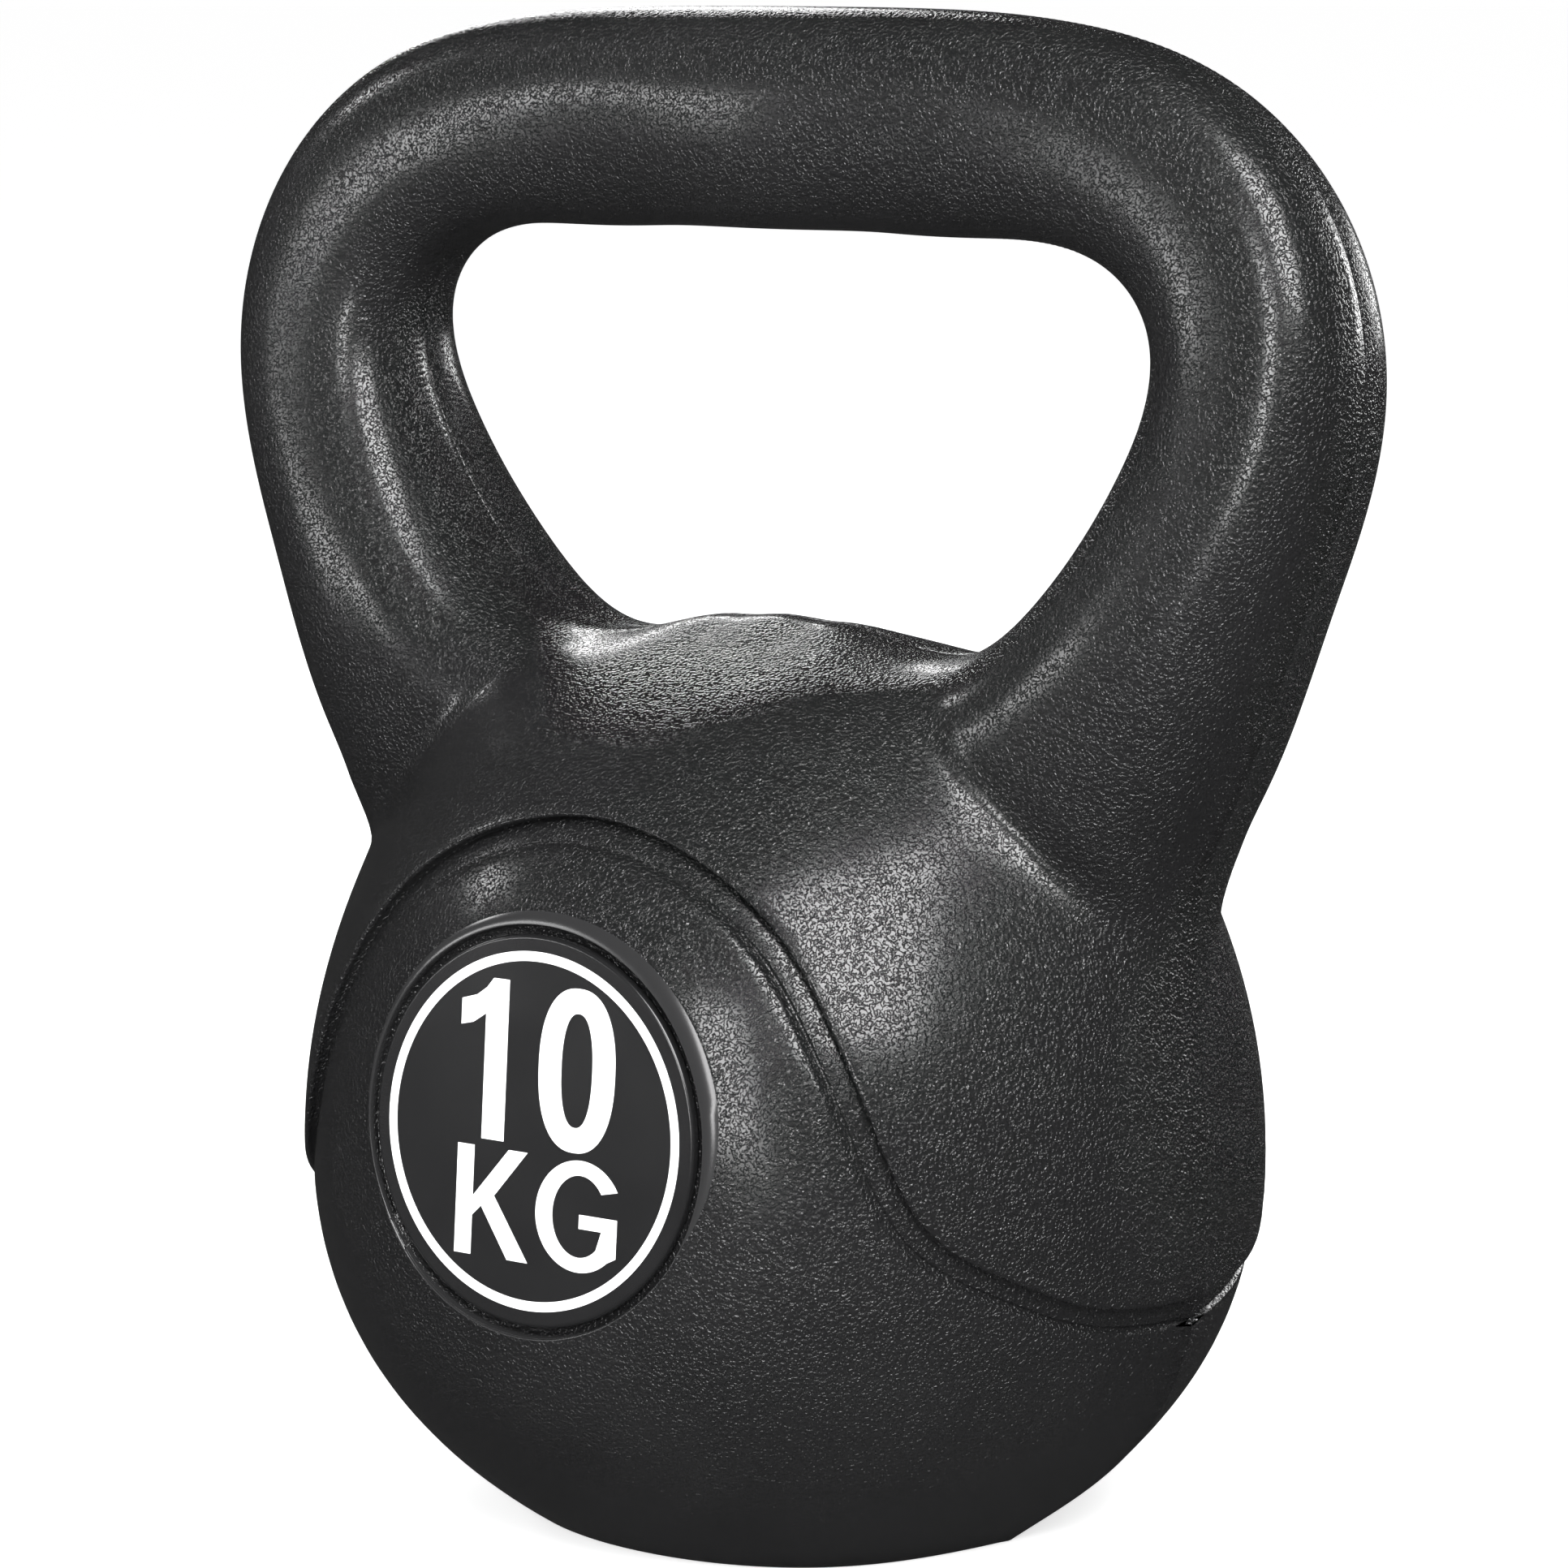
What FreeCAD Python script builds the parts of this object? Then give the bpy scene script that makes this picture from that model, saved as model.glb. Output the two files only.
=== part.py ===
import FreeCAD, Part
import math
import os
import Sketcher
from FreeCAD import Placement, Rotation, Vector

# Kettlebell with a moulded shell in two halves, a cast filling, a fill plug and a round weight
# badge on each face. +Z is up, the front faces -Y, and the origin is the middle of the flat base.

doc = FreeCAD.newDocument("Kettlebell")
sheet = doc.addObject("Spreadsheet::Sheet", "Sizes")

sizes = [
    ("total_height", 290.0, "floor to the top of the grip"),
    ("handle_half_width", 125.6, "widest point of the handle, from the middle"),
    ("arm_width", 39.8, "handle's arm, from opening to outside"),
    ("opening_half_width", "=handle_half_width - arm_width", "widest point of the hand opening"),
    ("grip_thickness", 41.7, "height of the grip bar at the middle"),
    ("grip_half_depth", 18.0, "grip bar, parting line to front"),
    ("corner_half_depth", 15.0, "corner of the handle, parting line to front"),
    ("arm_half_depth", 18.3, "arm, parting line to front"),
    ("arm_root_half_depth", 27.4, "where the arm runs into the body"),
    ("neck_half_depth", 19.0, "saddle, parting line to front"),
    ("neck_blend", 7.5, "softness of the join between handle and body"),
    ("valley_height", 170.0, "lowest point of the opening, beside the saddle"),
    ("valley_half_width", 41.5, "distance of that point from the middle"),
    ("saddle_height", 174.7, "top of the hump in the middle of the opening"),
    ("waist_height", 119.0, "narrowest place of the outline"),
    ("waist_half_width", 92.5, "half width there"),
    ("belly_height", 83.0, "widest place of the body"),
    ("belly_half_width", 95.2, "half width there"),
    ("base_half_width", 56.0, "pointed end of the flat base"),
    ("keel_start", 0.7, "turn where the halves' rounded edges begin to sharpen"),
    ("keel_run", 0.1, "turn over which they do"),
    ("ball_height", 70.7, "centre of the rounded body"),
    ("ball_half_depth", 89.5, "rounded body, parting line to front"),
    ("ball_overlap", 11.6, "rounded body's full form beyond the belly"),
    ("ball_half_width", "=belly_half_width + ball_overlap", "half width of that full form"),
    ("ball_rise", 115.6, "rounded body, its full form above that centre"),
    ("ball_drop", 95.8, "rounded body, its full form below that centre"),
    ("hood_rise", 1.8, "hood above the rounded body"),
    ("groove_depth", 1.0, "channel floor below the rounded body"),
    ("groove_width", 5.2, "channel between hood and rounded body"),
    ("wave_peak_height", 143.6, "top of the hood's arched edge"),
    ("wave_side_height", 53.2, "the same edge at the parting line"),
    ("wave_middle_height", 94.2, "middle of the steep part of the edge"),
    ("wave_middle_share", 0.662, "half width there, as a share of the belly's"),
    ("wave_middle_half_width", "=belly_half_width * wave_middle_share", "half width there"),
    ("wall", 3.6, "shell wall and base thickness"),
    ("filling_gap", 0.3, "between shell and filling"),
    ("badge_height", 88.0, "centre of the badge"),
    ("badge_lean", 4.5, "degrees the badge leans back"),
    ("badge_radius", 36.0, "badge disc"),
    ("badge_thickness", 1.8, "badge disc"),
    ("badge_edge_round", 0.6, "rounded rim of the disc"),
    ("recess_gap", 1.8, "ring groove round the disc"),
    ("collar_width", 2.4, "smooth collar round the recess"),
    ("collar_rise", 2.3, "height of that collar"),
    ("rim_sink", 0.1, "rim of the recess, below the badge face"),
    ("badge_sink", 0.13, "badge face, behind the mean depth of the recess's mouth"),
    ("pad_reach", 24.2, "width of the eased face round the recess"),
    ("pad_drop", 1.6, "that face, pressed in all round"),
    ("pad_tilt", 1.3, "that face, raised at the top and lowered at the foot"),
    ("pad_cup", 1.0, "that face, raised at top and foot alike"),
    ("adhesive_inset", 4.0, "adhesive pad, inside the disc's edge"),
    ("adhesive_radius", "=badge_radius - adhesive_inset", "adhesive pad"),
    ("adhesive_thickness", 0.4, "adhesive pad"),
    ("print_thickness", 0.12, "raised print"),
    ("ring_inset", 3.0, "printed ring, inside the disc's edge"),
    ("ring_radius", "=badge_radius - ring_inset", "outer radius of the printed ring"),
    ("ring_width", 1.8, "width of the printed ring"),
    ("print_disc_radius", 36.0, "disc the figures and letters below are drawn for"),
    ("figure_height", 29.8, "height of the two figures"),
    ("figure_base", -2.6, "their foot, above the badge centre"),
    ("unit_height", 20.3, "height of the two unit letters"),
    ("unit_base", -24.3, "their foot, above the badge centre"),
    ("stroke_width", 5.1, "upright of the figures"),
    ("unit_stroke_width", 3.8, "upright of the unit letters"),
    ("plug_radius", 12.0, "stem of the fill plug"),
    ("plug_flange_radius", 17.0, "flange of the fill plug"),
    ("plug_flange_thickness", 1.8, "flange, flush with the base"),
    ("plug_gap", 0.15, "round the plug"),
    ("plug_wall", 3.0, "wall of the plug's stem"),
    ("plug_bore_radius", "=plug_radius - plug_wall", "hollow of the plug"),
]

for row, (name, value, note) in enumerate(sizes, start=1):
    sheet.set(f"A{row}", name)
    sheet.setAlias(f"B{row}", name)
    sheet.set(f"C{row}", note)
for row, (name, value, note) in enumerate(sizes, start=1):
    sheet.set(f"B{row}", str(value))
doc.recompute()


def size(name):
    return float(sheet.get(name))


totalHeight = size("total_height")
openingTop = totalHeight - size("grip_thickness")
valleyHeight = size("valley_height")
waistHeight = size("waist_height")
centreHeight = valleyHeight + 0.447 * (openingTop - valleyHeight)
centre = Vector(0, 0, centreHeight)

# Outlines at the parting line.


def between(low, high, share):
    return low + (high - low) * share


def outerOutline():
    half = size("handle_half_width")
    waist = size("waist_half_width")
    belly = size("belly_half_width")
    base = size("base_half_width")
    bellyHeight = size("belly_height")
    wideHeight = totalHeight - 67.5
    return [
        (0, totalHeight),
        (0.271 * half, totalHeight - 0.3),
        (0.510 * half, totalHeight - 2.7),
        (0.744 * half, totalHeight - 11.7),
        (0.927 * half, totalHeight - 33.0),
        (half, wideHeight),
        (between(waist, half, 0.645), between(waistHeight, wideHeight, 0.597)),
        (between(waist, half, 0.245), between(waistHeight, wideHeight, 0.270)),
        (waist, waistHeight),
        (belly, bellyHeight),
        (between(base, belly, 0.945), 0.530 * bellyHeight),
        (between(base, belly, 0.590), 0.227 * bellyHeight),
        (base, 0),
        (0, -26.3),
    ]


def innerOutline():
    half = size("opening_half_width")
    valley = size("valley_half_width")
    saddleHeight = size("saddle_height")
    rise = openingTop - valleyHeight
    return [
        (0, openingTop),
        (0.291 * half, openingTop),
        (0.553 * half, valleyHeight + 0.995 * rise),
        (0.855 * half, valleyHeight + 0.947 * rise),
        (0.997 * half, valleyHeight + 0.761 * rise),
        (0.944 * half, valleyHeight + 0.483 * rise),
        (0.758 * half, valleyHeight + 0.176 * rise),
        (valley, valleyHeight),
        (0.50 * valley, between(valleyHeight, saddleHeight, 0.58)),
        (0.21 * valley, between(valleyHeight, saddleHeight, 0.86)),
        (0, saddleHeight),
    ]


# A radius about the opening's centre for each angle from straight up, as one smooth curve.
def radiusCurve(points):
    knots = []
    for x, z in points:
        angle = math.atan2(x, z - centreHeight)
        knots.append((angle, math.hypot(x, z - centreHeight)))
    knots[-1] = (math.pi, knots[-1][1])
    curve = Part.BSplineCurve()
    curve.interpolate(
        Points=[Vector(radius, angle, 0) for angle, radius in knots],
        Parameters=[angle for angle, radius in knots],
        InitialTangent=Vector(0, 1, 0),
        FinalTangent=Vector(0, 1, 0),
    )
    return curve


outerCurve = radiusCurve(outerOutline())
innerCurve = radiusCurve(innerOutline())

# Depth of the body in front of the parting plane.


def depthCurve():
    stations = [
        (0.0, size("grip_half_depth")),
        (0.2, size("corner_half_depth")),
        (0.42, size("arm_half_depth")),
        (0.62, size("arm_root_half_depth")),
        (1.0, size("neck_half_depth")),
    ]
    curve = Part.BSplineCurve()
    curve.interpolate(
        Points=[Vector(depth, share, 0) for share, depth in stations],
        Parameters=[share for share, depth in stations],
        InitialTangent=Vector(0, 1, 0),
        FinalTangent=Vector(0, 1, 0),
    )
    return curve


handleDepth = depthCurve()
recessRadius = size("badge_radius") + size("recess_gap")


# The face round the badge is eased towards the badge's plane: change of depth at one point.
def padEase(x, z):
    reach = size("pad_reach")
    up = z - size("badge_height")
    away = min(max((recessRadius + reach - math.hypot(x, up)) / reach, 0), 1)
    high = up / recessRadius
    change = size("pad_tilt") * high + size("pad_cup") * high ** 2 - size("pad_drop")
    return away * away * (3 - 2 * away) * change


# Below the waist the handle's rounding fades out, and the halves meet at a soft keel.
def keelShare(turn, across):
    low = min(max((turn - size("keel_start")) / size("keel_run"), 0), 1)
    return low * low * (3 - 2 * low) * across ** 2


# Depth at one point: x and z in the parting plane, turn 0..1 from the top of the grip round to
# the base, across 0..1 from the opening to the outside, inset = distance below the hood's skin.
def bodyDepth(x, z, turn, across, inset):
    side = abs(2 * across - 1)
    section = max(1 - side ** 2.68, 0) ** (1 / 2.68)
    handle = max(handleDepth.value(turn).x - inset, 0.5) * section
    handle *= 1 - keelShare(turn, across)
    lift = z - size("ball_height")
    full = size("ball_rise") if lift > 0 else size("ball_drop")
    wide = abs(x) / (size("ball_half_width") - inset)
    high = abs(lift) / (full - inset)
    reach = (wide ** 2.08 + high ** 2.08) ** (1 / 2.08)
    ball = (size("ball_half_depth") - inset) * (1 - reach ** 2.66)
    ball *= (1 - across ** 40) * (1 - (1 - across) ** 36)
    blend = size("neck_blend") * handle / (handle + 6)
    return 0.5 * (handle + ball + math.sqrt((handle - ball) ** 2 + blend ** 2)) + padEase(x, z)


# The same depth at a height on the middle line below the opening.
def middleDepth(z, inset):
    inner = innerCurve.value(math.pi).x + inset
    outer = outerCurve.value(math.pi).x - inset
    return bodyDepth(0, z, 1, (centreHeight - z - inner) / (outer - inner), inset)


columns = 96
rows = 18


def skinGrid(inset):
    grid = []
    for i in range(columns):
        angle = 2 * math.pi * i / columns
        folded = min(angle, 2 * math.pi - angle)
        inner = innerCurve.value(folded).x + inset
        outer = outerCurve.value(folded).x - inset
        line = []
        for j in range(rows + 1):
            across = 0.5 * (1 - math.cos(math.pi * j / rows))
            radius = between(inner, outer, across)
            x = radius * math.sin(angle)
            z = centreHeight + radius * math.cos(angle)
            depth = 0.0
            if 0 < j < rows:
                depth = bodyDepth(x, z, folded / math.pi, across, inset)
            line.append(Vector(x, -depth, z))
        grid.append(line)
    return grid


# The smooth front skin, closed round the opening, with both rims in the parting plane.
def skinFace(inset, mirrored=False):
    grid = skinGrid(inset)
    poles = []
    for i in range(columns):
        before = grid[i - 1]
        here = grid[i]
        after = grid[(i + 1) % columns]
        line = []
        for j in range(rows + 1):
            pole = here[j] + (here[j] * 2 - before[j] - after[j]) * (1 / 6)
            line.append(Vector(pole.x, -pole.y if mirrored else pole.y, pole.z))
        poles.append(line)
    surface = Part.BSplineSurface()
    inside = rows - 3
    surface.buildFromPolesMultsKnots(
        poles,
        [1] * (columns + 1),
        [4] + [1] * inside + [4],
        list(range(columns + 1)),
        list(range(inside + 2)),
        True,
        False,
        3,
        3,
    )
    return surface.toShape()


# Half of the body in front of the parting plane, cut off level at the given height.
def frontHalf(inset, floorHeight):
    skin = skinFace(inset)
    rims = [Part.Wire([edge]) for edge in skin.Edges if edge.isClosed()]
    rims = [wire for wire in rims if wire.BoundBox.YLength < 0.001]
    rims.sort(key=lambda wire: -wire.BoundBox.DiagonalLength)
    flat = Part.Face(rims[0]).cut(Part.Face(rims[1])).Faces[0]
    shell = Part.makeShell([skin, flat])
    shell.sewShape()
    half = Part.makeSolid(shell)
    if half.Volume < 0:
        half.reverse()
    return half.cut(blockBelow(floorHeight))


def blockBelow(height):
    reach = 4 * totalHeight
    corner = Vector(-reach / 2, -reach / 2, height - reach)
    return Part.makeBox(reach, reach, reach, corner)


# Arched channel between the hood and the rounded body.


def wavePoints():
    peak = size("wave_peak_height")
    middle = size("wave_middle_height")
    side = size("wave_side_height")
    width = size("wave_middle_half_width")
    edge = size("belly_half_width")
    half = [
        (0, peak),
        (0.286 * width, between(middle, peak, 0.941)),
        (0.524 * width, between(middle, peak, 0.802)),
        (0.698 * width, between(middle, peak, 0.628)),
        (0.825 * width, between(middle, peak, 0.425)),
        (0.921 * width, between(middle, peak, 0.215)),
        (width, middle),
        (between(width, edge, 0.155), between(side, middle, 0.690)),
        (between(width, edge, 0.342), between(side, middle, 0.430)),
        (between(width, edge, 0.621), between(side, middle, 0.224)),
        (edge, side),
        (2 * edge, side - 0.3 * (middle - side)),
    ]
    left = [(-x, z) for x, z in reversed(half[1:])]
    return left + half


# Everything below the hood's edge, shifted square to that edge by the given distance.
def prismBelowWave(shift):
    edge = Part.BSplineCurve()
    edge.interpolate([Vector(x, 0, z) for x, z in wavePoints()])
    count = 72
    shifted = []
    for i in range(count + 1):
        place = between(edge.FirstParameter, edge.LastParameter, i / count)
        along = edge.tangent(place)[0]
        shifted.append(edge.value(place) + Vector(along.z, 0, -along.x) * shift)
    curve = Part.BSplineCurve()
    curve.interpolate(shifted)
    first = shifted[0]
    last = shifted[-1]
    low = -totalHeight
    border = Part.makePolygon([last, Vector(last.x, 0, low), Vector(first.x, 0, low), first])
    face = Part.Face(Part.Wire([curve.toShape()] + border.Edges))
    face.translate(Vector(0, 10, 0))
    return face.extrude(Vector(0, -2 * size("ball_half_depth"), 0))


# Badge frame: its own z points out of the face, its own y points up the face.



# The badge face follows the body's skin at the top and foot of the recess.
def badgeReach():
    rim = recessRadius * math.cos(math.radians(size("badge_lean")))
    top = middleDepth(size("badge_height") + rim, size("hood_rise"))
    foot = middleDepth(size("badge_height") - rim, size("hood_rise"))
    return 0.5 * (top + foot) - size("badge_sink")


frontBadgePlace = Placement(
    Vector(0, -badgeReach(), size("badge_height")),
    Rotation(Vector(1, 0, 0), 90 - size("badge_lean")),
)
halfTurn = Placement(Vector(0, 0, 0), Rotation(Vector(0, 0, 1), 180))
backBadgePlace = halfTurn * frontBadgePlace
badgeThickness = size("badge_thickness")
adhesiveThickness = size("adhesive_thickness")
recessDepth = badgeThickness + adhesiveThickness


def onBadge(shape):
    placed = shape.copy()
    placed.transformShape(frontBadgePlace.toMatrix())
    return placed


# Sloping collar that brings the rim of the recess up to the badge face.
def recessCollar():
    mouth = recessRadius + size("collar_width")
    foot = -size("rim_sink") - size("collar_rise")
    ring = Part.makeCylinder(mouth, size("wall"), Vector(0, 0, foot - size("wall")))
    slope = Part.makeCone(mouth, recessRadius, size("collar_rise"), Vector(0, 0, foot))
    return onBadge(ring.fuse(slope))


def recessTool():
    start = Vector(0, 0, -recessDepth)
    return onBadge(Part.makeCylinder(recessRadius, size("ball_half_depth"), start))


# What the recess leaves of the hollow behind it: shell wall all round.
def recessBacking(extra):
    start = Vector(0, 0, -recessDepth - size("wall") - extra)
    radius = recessRadius + size("wall") + extra
    return onBadge(Part.makeCylinder(radius, size("ball_half_depth"), start))


# Fill hole in the middle of the base.


def plugTool():
    gap = size("plug_gap")
    flange = Part.makeCylinder(size("plug_flange_radius") + gap, size("plug_flange_thickness"))
    stem = Part.makeCylinder(size("plug_radius") + gap, 2 * size("wall"))
    below = Part.makeCylinder(size("plug_flange_radius") + gap, 10, Vector(0, 0, -10))
    return flange.fuse([stem, below])


# Shells.


def only(shape):
    solids = sorted(shape.Solids, key=lambda solid: -solid.Volume)
    return solids[0]


def frontShellShape():
    rise = size("hood_rise")
    belowHood = prismBelowWave(0)
    belowGroove = prismBelowWave(size("groove_width"))
    hood = frontHalf(0, 0).cut(belowHood)
    groove = frontHalf(rise + size("groove_depth"), 0).common(belowHood).cut(belowGroove)
    ball = frontHalf(rise, 0).common(belowGroove)
    solid = only(hood.fuse([groove, ball, recessCollar()]))
    hollow = frontHalf(rise + size("wall"), size("wall")).cut(recessBacking(0))
    return only(solid.cut(hollow).cut(recessTool()).cut(plugTool()))


frontShell = doc.addObject("Part::Feature", "front_shell")
frontShell.Label = "front_shell"
frontShell.Shape = frontShellShape()

backShell = doc.addObject("Part::Mirroring", "back_shell")
backShell.Label = "back_shell"
backShell.Source = frontShell
backShell.Normal = Vector(0, 1, 0)

# Filling: one casting that follows the hollow and stands on the shell's floor.


def fillingShape():
    gap = size("filling_gap")
    inset = size("hood_rise") + size("wall") + gap
    front = only(frontHalf(inset, size("wall")).cut(recessBacking(gap)))
    back = front.mirror(Vector(0, 0, 0), Vector(0, 1, 0))
    return only(front.fuse(back).removeSplitter())


filling = doc.addObject("Part::Feature", "ballast_core")
filling.Label = "ballast_core"
filling.Shape = fillingShape()

# Turned and printed pieces as bodies.


def newBody(name):
    body = doc.addObject("PartDesign::Body", name)
    body.Label = name
    return body


def sketchOn(body, role, name, offset=0.0):
    plane = [item for item in body.Origin.OriginFeatures if item.Role == role][0]
    sketch = body.newObject("Sketcher::SketchObject", name)
    sketch.AttachmentSupport = [(plane, "")]
    sketch.MapMode = "FlatFace"
    sketch.AttachmentOffset = Placement(Vector(0, 0, offset), Rotation())
    return sketch


# A circle about the sketch's origin, its radius bound to the sheet.
def addCircle(sketch, expression):
    circle = Part.Circle(Vector(0, 0, 0), Vector(0, 0, 1), 10)
    index = sketch.addGeometry(circle, False)
    sketch.addConstraint(Sketcher.Constraint("Coincident", index, 3, -1, 1))
    constraint = sketch.addConstraint(Sketcher.Constraint("Radius", index, 10))
    sketch.setExpression(f"Constraints[{constraint}]", expression)


def addPad(body, sketch, expression, downward=False):
    pad = body.newObject("PartDesign::Pad", body.Name + "_pad")
    pad.Profile = sketch
    pad.Reversed = downward
    pad.setExpression("Length", expression)
    doc.recompute()
    return pad


def addOutline(sketch, points, scale=1.0):
    corners = [Vector(x, y, 0) * scale for x, y in points]
    for k, start in enumerate(corners):
        end = corners[(k + 1) % len(corners)]
        sketch.addGeometry(Part.LineSegment(start, end), False)


def badgeBody(name, place):
    body = newBody(name)
    sketch = sketchOn(body, "XY_Plane", name + "_disc")
    addCircle(sketch, "Sizes.badge_radius")
    pad = addPad(body, sketch, "Sizes.badge_thickness", downward=True)
    top = []
    for number, edge in enumerate(pad.Shape.Edges, start=1):
        if edge.isClosed() and edge.BoundBox.ZMin > -0.01:
            top.append(f"Edge{number}")
    rim = body.newObject("PartDesign::Fillet", name + "_rim")
    rim.Base = (pad, top)
    rim.setExpression("Radius", "Sizes.badge_edge_round")
    body.Tip = rim
    body.Placement = place


def adhesiveBody(name, place):
    body = newBody(name)
    sketch = sketchOn(body, "XY_Plane", name + "_disc", -badgeThickness)
    addCircle(sketch, "Sizes.adhesive_radius")
    addPad(body, sketch, "Sizes.adhesive_thickness", downward=True)
    body.Placement = place


def ringBody(name, place):
    body = newBody(name)
    sketch = sketchOn(body, "XY_Plane", name + "_ring")
    addCircle(sketch, "Sizes.ring_radius")
    addCircle(sketch, "Sizes.ring_radius - Sizes.ring_width")
    addPad(body, sketch, "Sizes.print_thickness")
    body.Placement = place


# Figures and letters grow and shrink with the disc.
printScale = size("badge_radius") / size("print_disc_radius")


# Figure one: upright bar with a curved flag at its top left.
def figureOneBody(name, place):
    tall = size("figure_height")
    foot = size("figure_base")
    left = -6.3 - size("stroke_width")
    body = newBody(name)
    sketch = sketchOn(body, "XY_Plane", name + "_outline")
    addOutline(
        sketch,
        [
            (-6.3, foot),
            (-6.3, foot + tall),
            (-9.8, foot + tall),
            (-13.0, foot + 0.912 * tall),
            (-17.0, foot + 0.848 * tall),
            (-17.0, foot + 0.678 * tall),
            (-14.3, foot + 0.704 * tall),
            (left, foot + 0.769 * tall),
            (left, foot),
        ],
        printScale,
    )
    addPad(body, sketch, "Sizes.print_thickness")
    body.Placement = place


# Figure nought: an upright oval ring.
def figureNoughtBody(name, place):
    halfTall = 0.5 * size("figure_height") + 0.1
    middle = Vector(9.65, size("figure_base") + 0.5 * size("figure_height"), 0)
    stroke = size("stroke_width")
    body = newBody(name)
    sketch = sketchOn(body, "XY_Plane", name + "_outline")
    for inset, endInset in ((0, 0), (stroke, 0.9 * stroke)):
        tip = middle + Vector(0, halfTall - endInset, 0)
        flank = middle + Vector(8.6 - inset, 0, 0)
        points = [point * printScale for point in (tip, flank, middle)]
        sketch.addGeometry(Part.Ellipse(*points), False)
    addPad(body, sketch, "Sizes.print_thickness")
    body.Placement = place


# Letter K of the weight unit.
def unitFirstBody(name, place):
    foot = size("unit_base")
    top = foot + size("unit_height")
    middle = between(foot, top, 0.55)
    left = -16.7
    right = left + size("unit_stroke_width")
    body = newBody(name)
    sketch = sketchOn(body, "XY_Plane", name + "_outline")
    addOutline(
        sketch,
        [
            (left, foot),
            (right, foot),
            (right, between(foot, top, 0.36)),
            (right + 2.0, middle - 1.9),
            (-4.5, foot),
            (0.2, foot),
            (-8.0, middle + 0.3),
            (-0.7, top),
            (-5.0, top),
            (right, middle - 0.3),
            (right, top),
            (left, top),
        ],
        printScale,
    )
    addPad(body, sketch, "Sizes.print_thickness")
    body.Placement = place


# Letter G of the weight unit: two oval arcs, a terminal and a bar.
def unitSecondBody(name, place):
    tall = size("unit_height")
    middleX = 11.5
    middleY = size("unit_base") + 0.5 * tall
    outerX = 9.9
    outerY = 0.5 * tall + 0.1
    stroke = size("unit_stroke_width")
    innerX = outerX - stroke
    innerY = outerY - 0.72 * stroke
    outline = []
    steps = 28
    for k in range(steps + 1):
        angle = math.radians(32 + (311 - 32) * k / steps)
        outline.append((middleX + outerX * math.cos(angle), middleY + outerY * math.sin(angle)))
    outline.append((20.0, between(middleY, size("unit_base"), 0.66)))
    outline.append((20.0, middleY + 0.4))
    outline.append((middleX, middleY + 0.4))
    outline.append((middleX, middleY - 2.2))
    outline.append((16.6, middleY - 2.2))
    for k in range(steps + 1):
        angle = math.radians(311 - (311 - 38) * k / steps)
        outline.append((middleX + innerX * math.cos(angle), middleY + innerY * math.sin(angle)))
    body = newBody(name)
    sketch = sketchOn(body, "XY_Plane", name + "_outline")
    addOutline(sketch, outline, printScale)
    addPad(body, sketch, "Sizes.print_thickness")
    body.Placement = place


for side, place in (("front", frontBadgePlace), ("back", backBadgePlace)):
    badgeBody(side + "_badge", place)
    adhesiveBody(side + "_adhesive", place)
    ringBody(side + "_ring", place)
    figureOneBody(side + "_figure_one", place)
    figureNoughtBody(side + "_figure_nought", place)
    unitFirstBody(side + "_unit_first", place)
    unitSecondBody(side + "_unit_second", place)

# Fill plug, pressed in from below.

plug = newBody("fill_plug")
plugSketch = sketchOn(plug, "XZ_Plane", "plug_profile")
flangeRadius = size("plug_flange_radius")
flangeTop = size("plug_flange_thickness")
stemRadius = size("plug_radius")
boreRadius = size("plug_bore_radius")
stemTop = size("wall")
addOutline(
    plugSketch,
    [
        (0, 0),
        (flangeRadius, 0),
        (flangeRadius, flangeTop),
        (stemRadius, flangeTop),
        (stemRadius, stemTop),
        (boreRadius, stemTop),
        (boreRadius, flangeTop),
        (0, flangeTop),
    ],
)
plugTurn = plug.newObject("PartDesign::Revolution", "plug_turn")
plugTurn.Profile = plugSketch
plugTurn.ReferenceAxis = (plugSketch, ["V_Axis"])
plugTurn.Angle = 360

doc.recompute()

# Check and write.

for item in doc.Objects:
    if "Invalid" in item.State or "Error" in item.State:
        raise RuntimeError(f"{item.Name} did not recompute: {item.State}")

bodies = [item for item in doc.Objects if item.TypeId == "PartDesign::Body"]
pieces = [frontShell, backShell, filling] + bodies
for piece in pieces:
    if piece.Shape.isNull() or not piece.Shape.isValid():
        raise RuntimeError(f"{piece.Label} has no valid shape")
    if len(piece.Shape.Solids) != 1:
        raise RuntimeError(f"{piece.Label} is not one solid")

os.makedirs("parts", exist_ok=True)
for piece in pieces:
    piece.Shape.exportStep(f"parts/{piece.Label}.step")
    print(piece.Label, round(piece.Shape.Volume, 1))
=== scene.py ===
import bmesh
import bpy
import math
import numpy as np
from mathutils import Matrix, Vector
from mathutils.geometry import delaunay_2d_cdt
from mathutils.kdtree import KDTree


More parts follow.
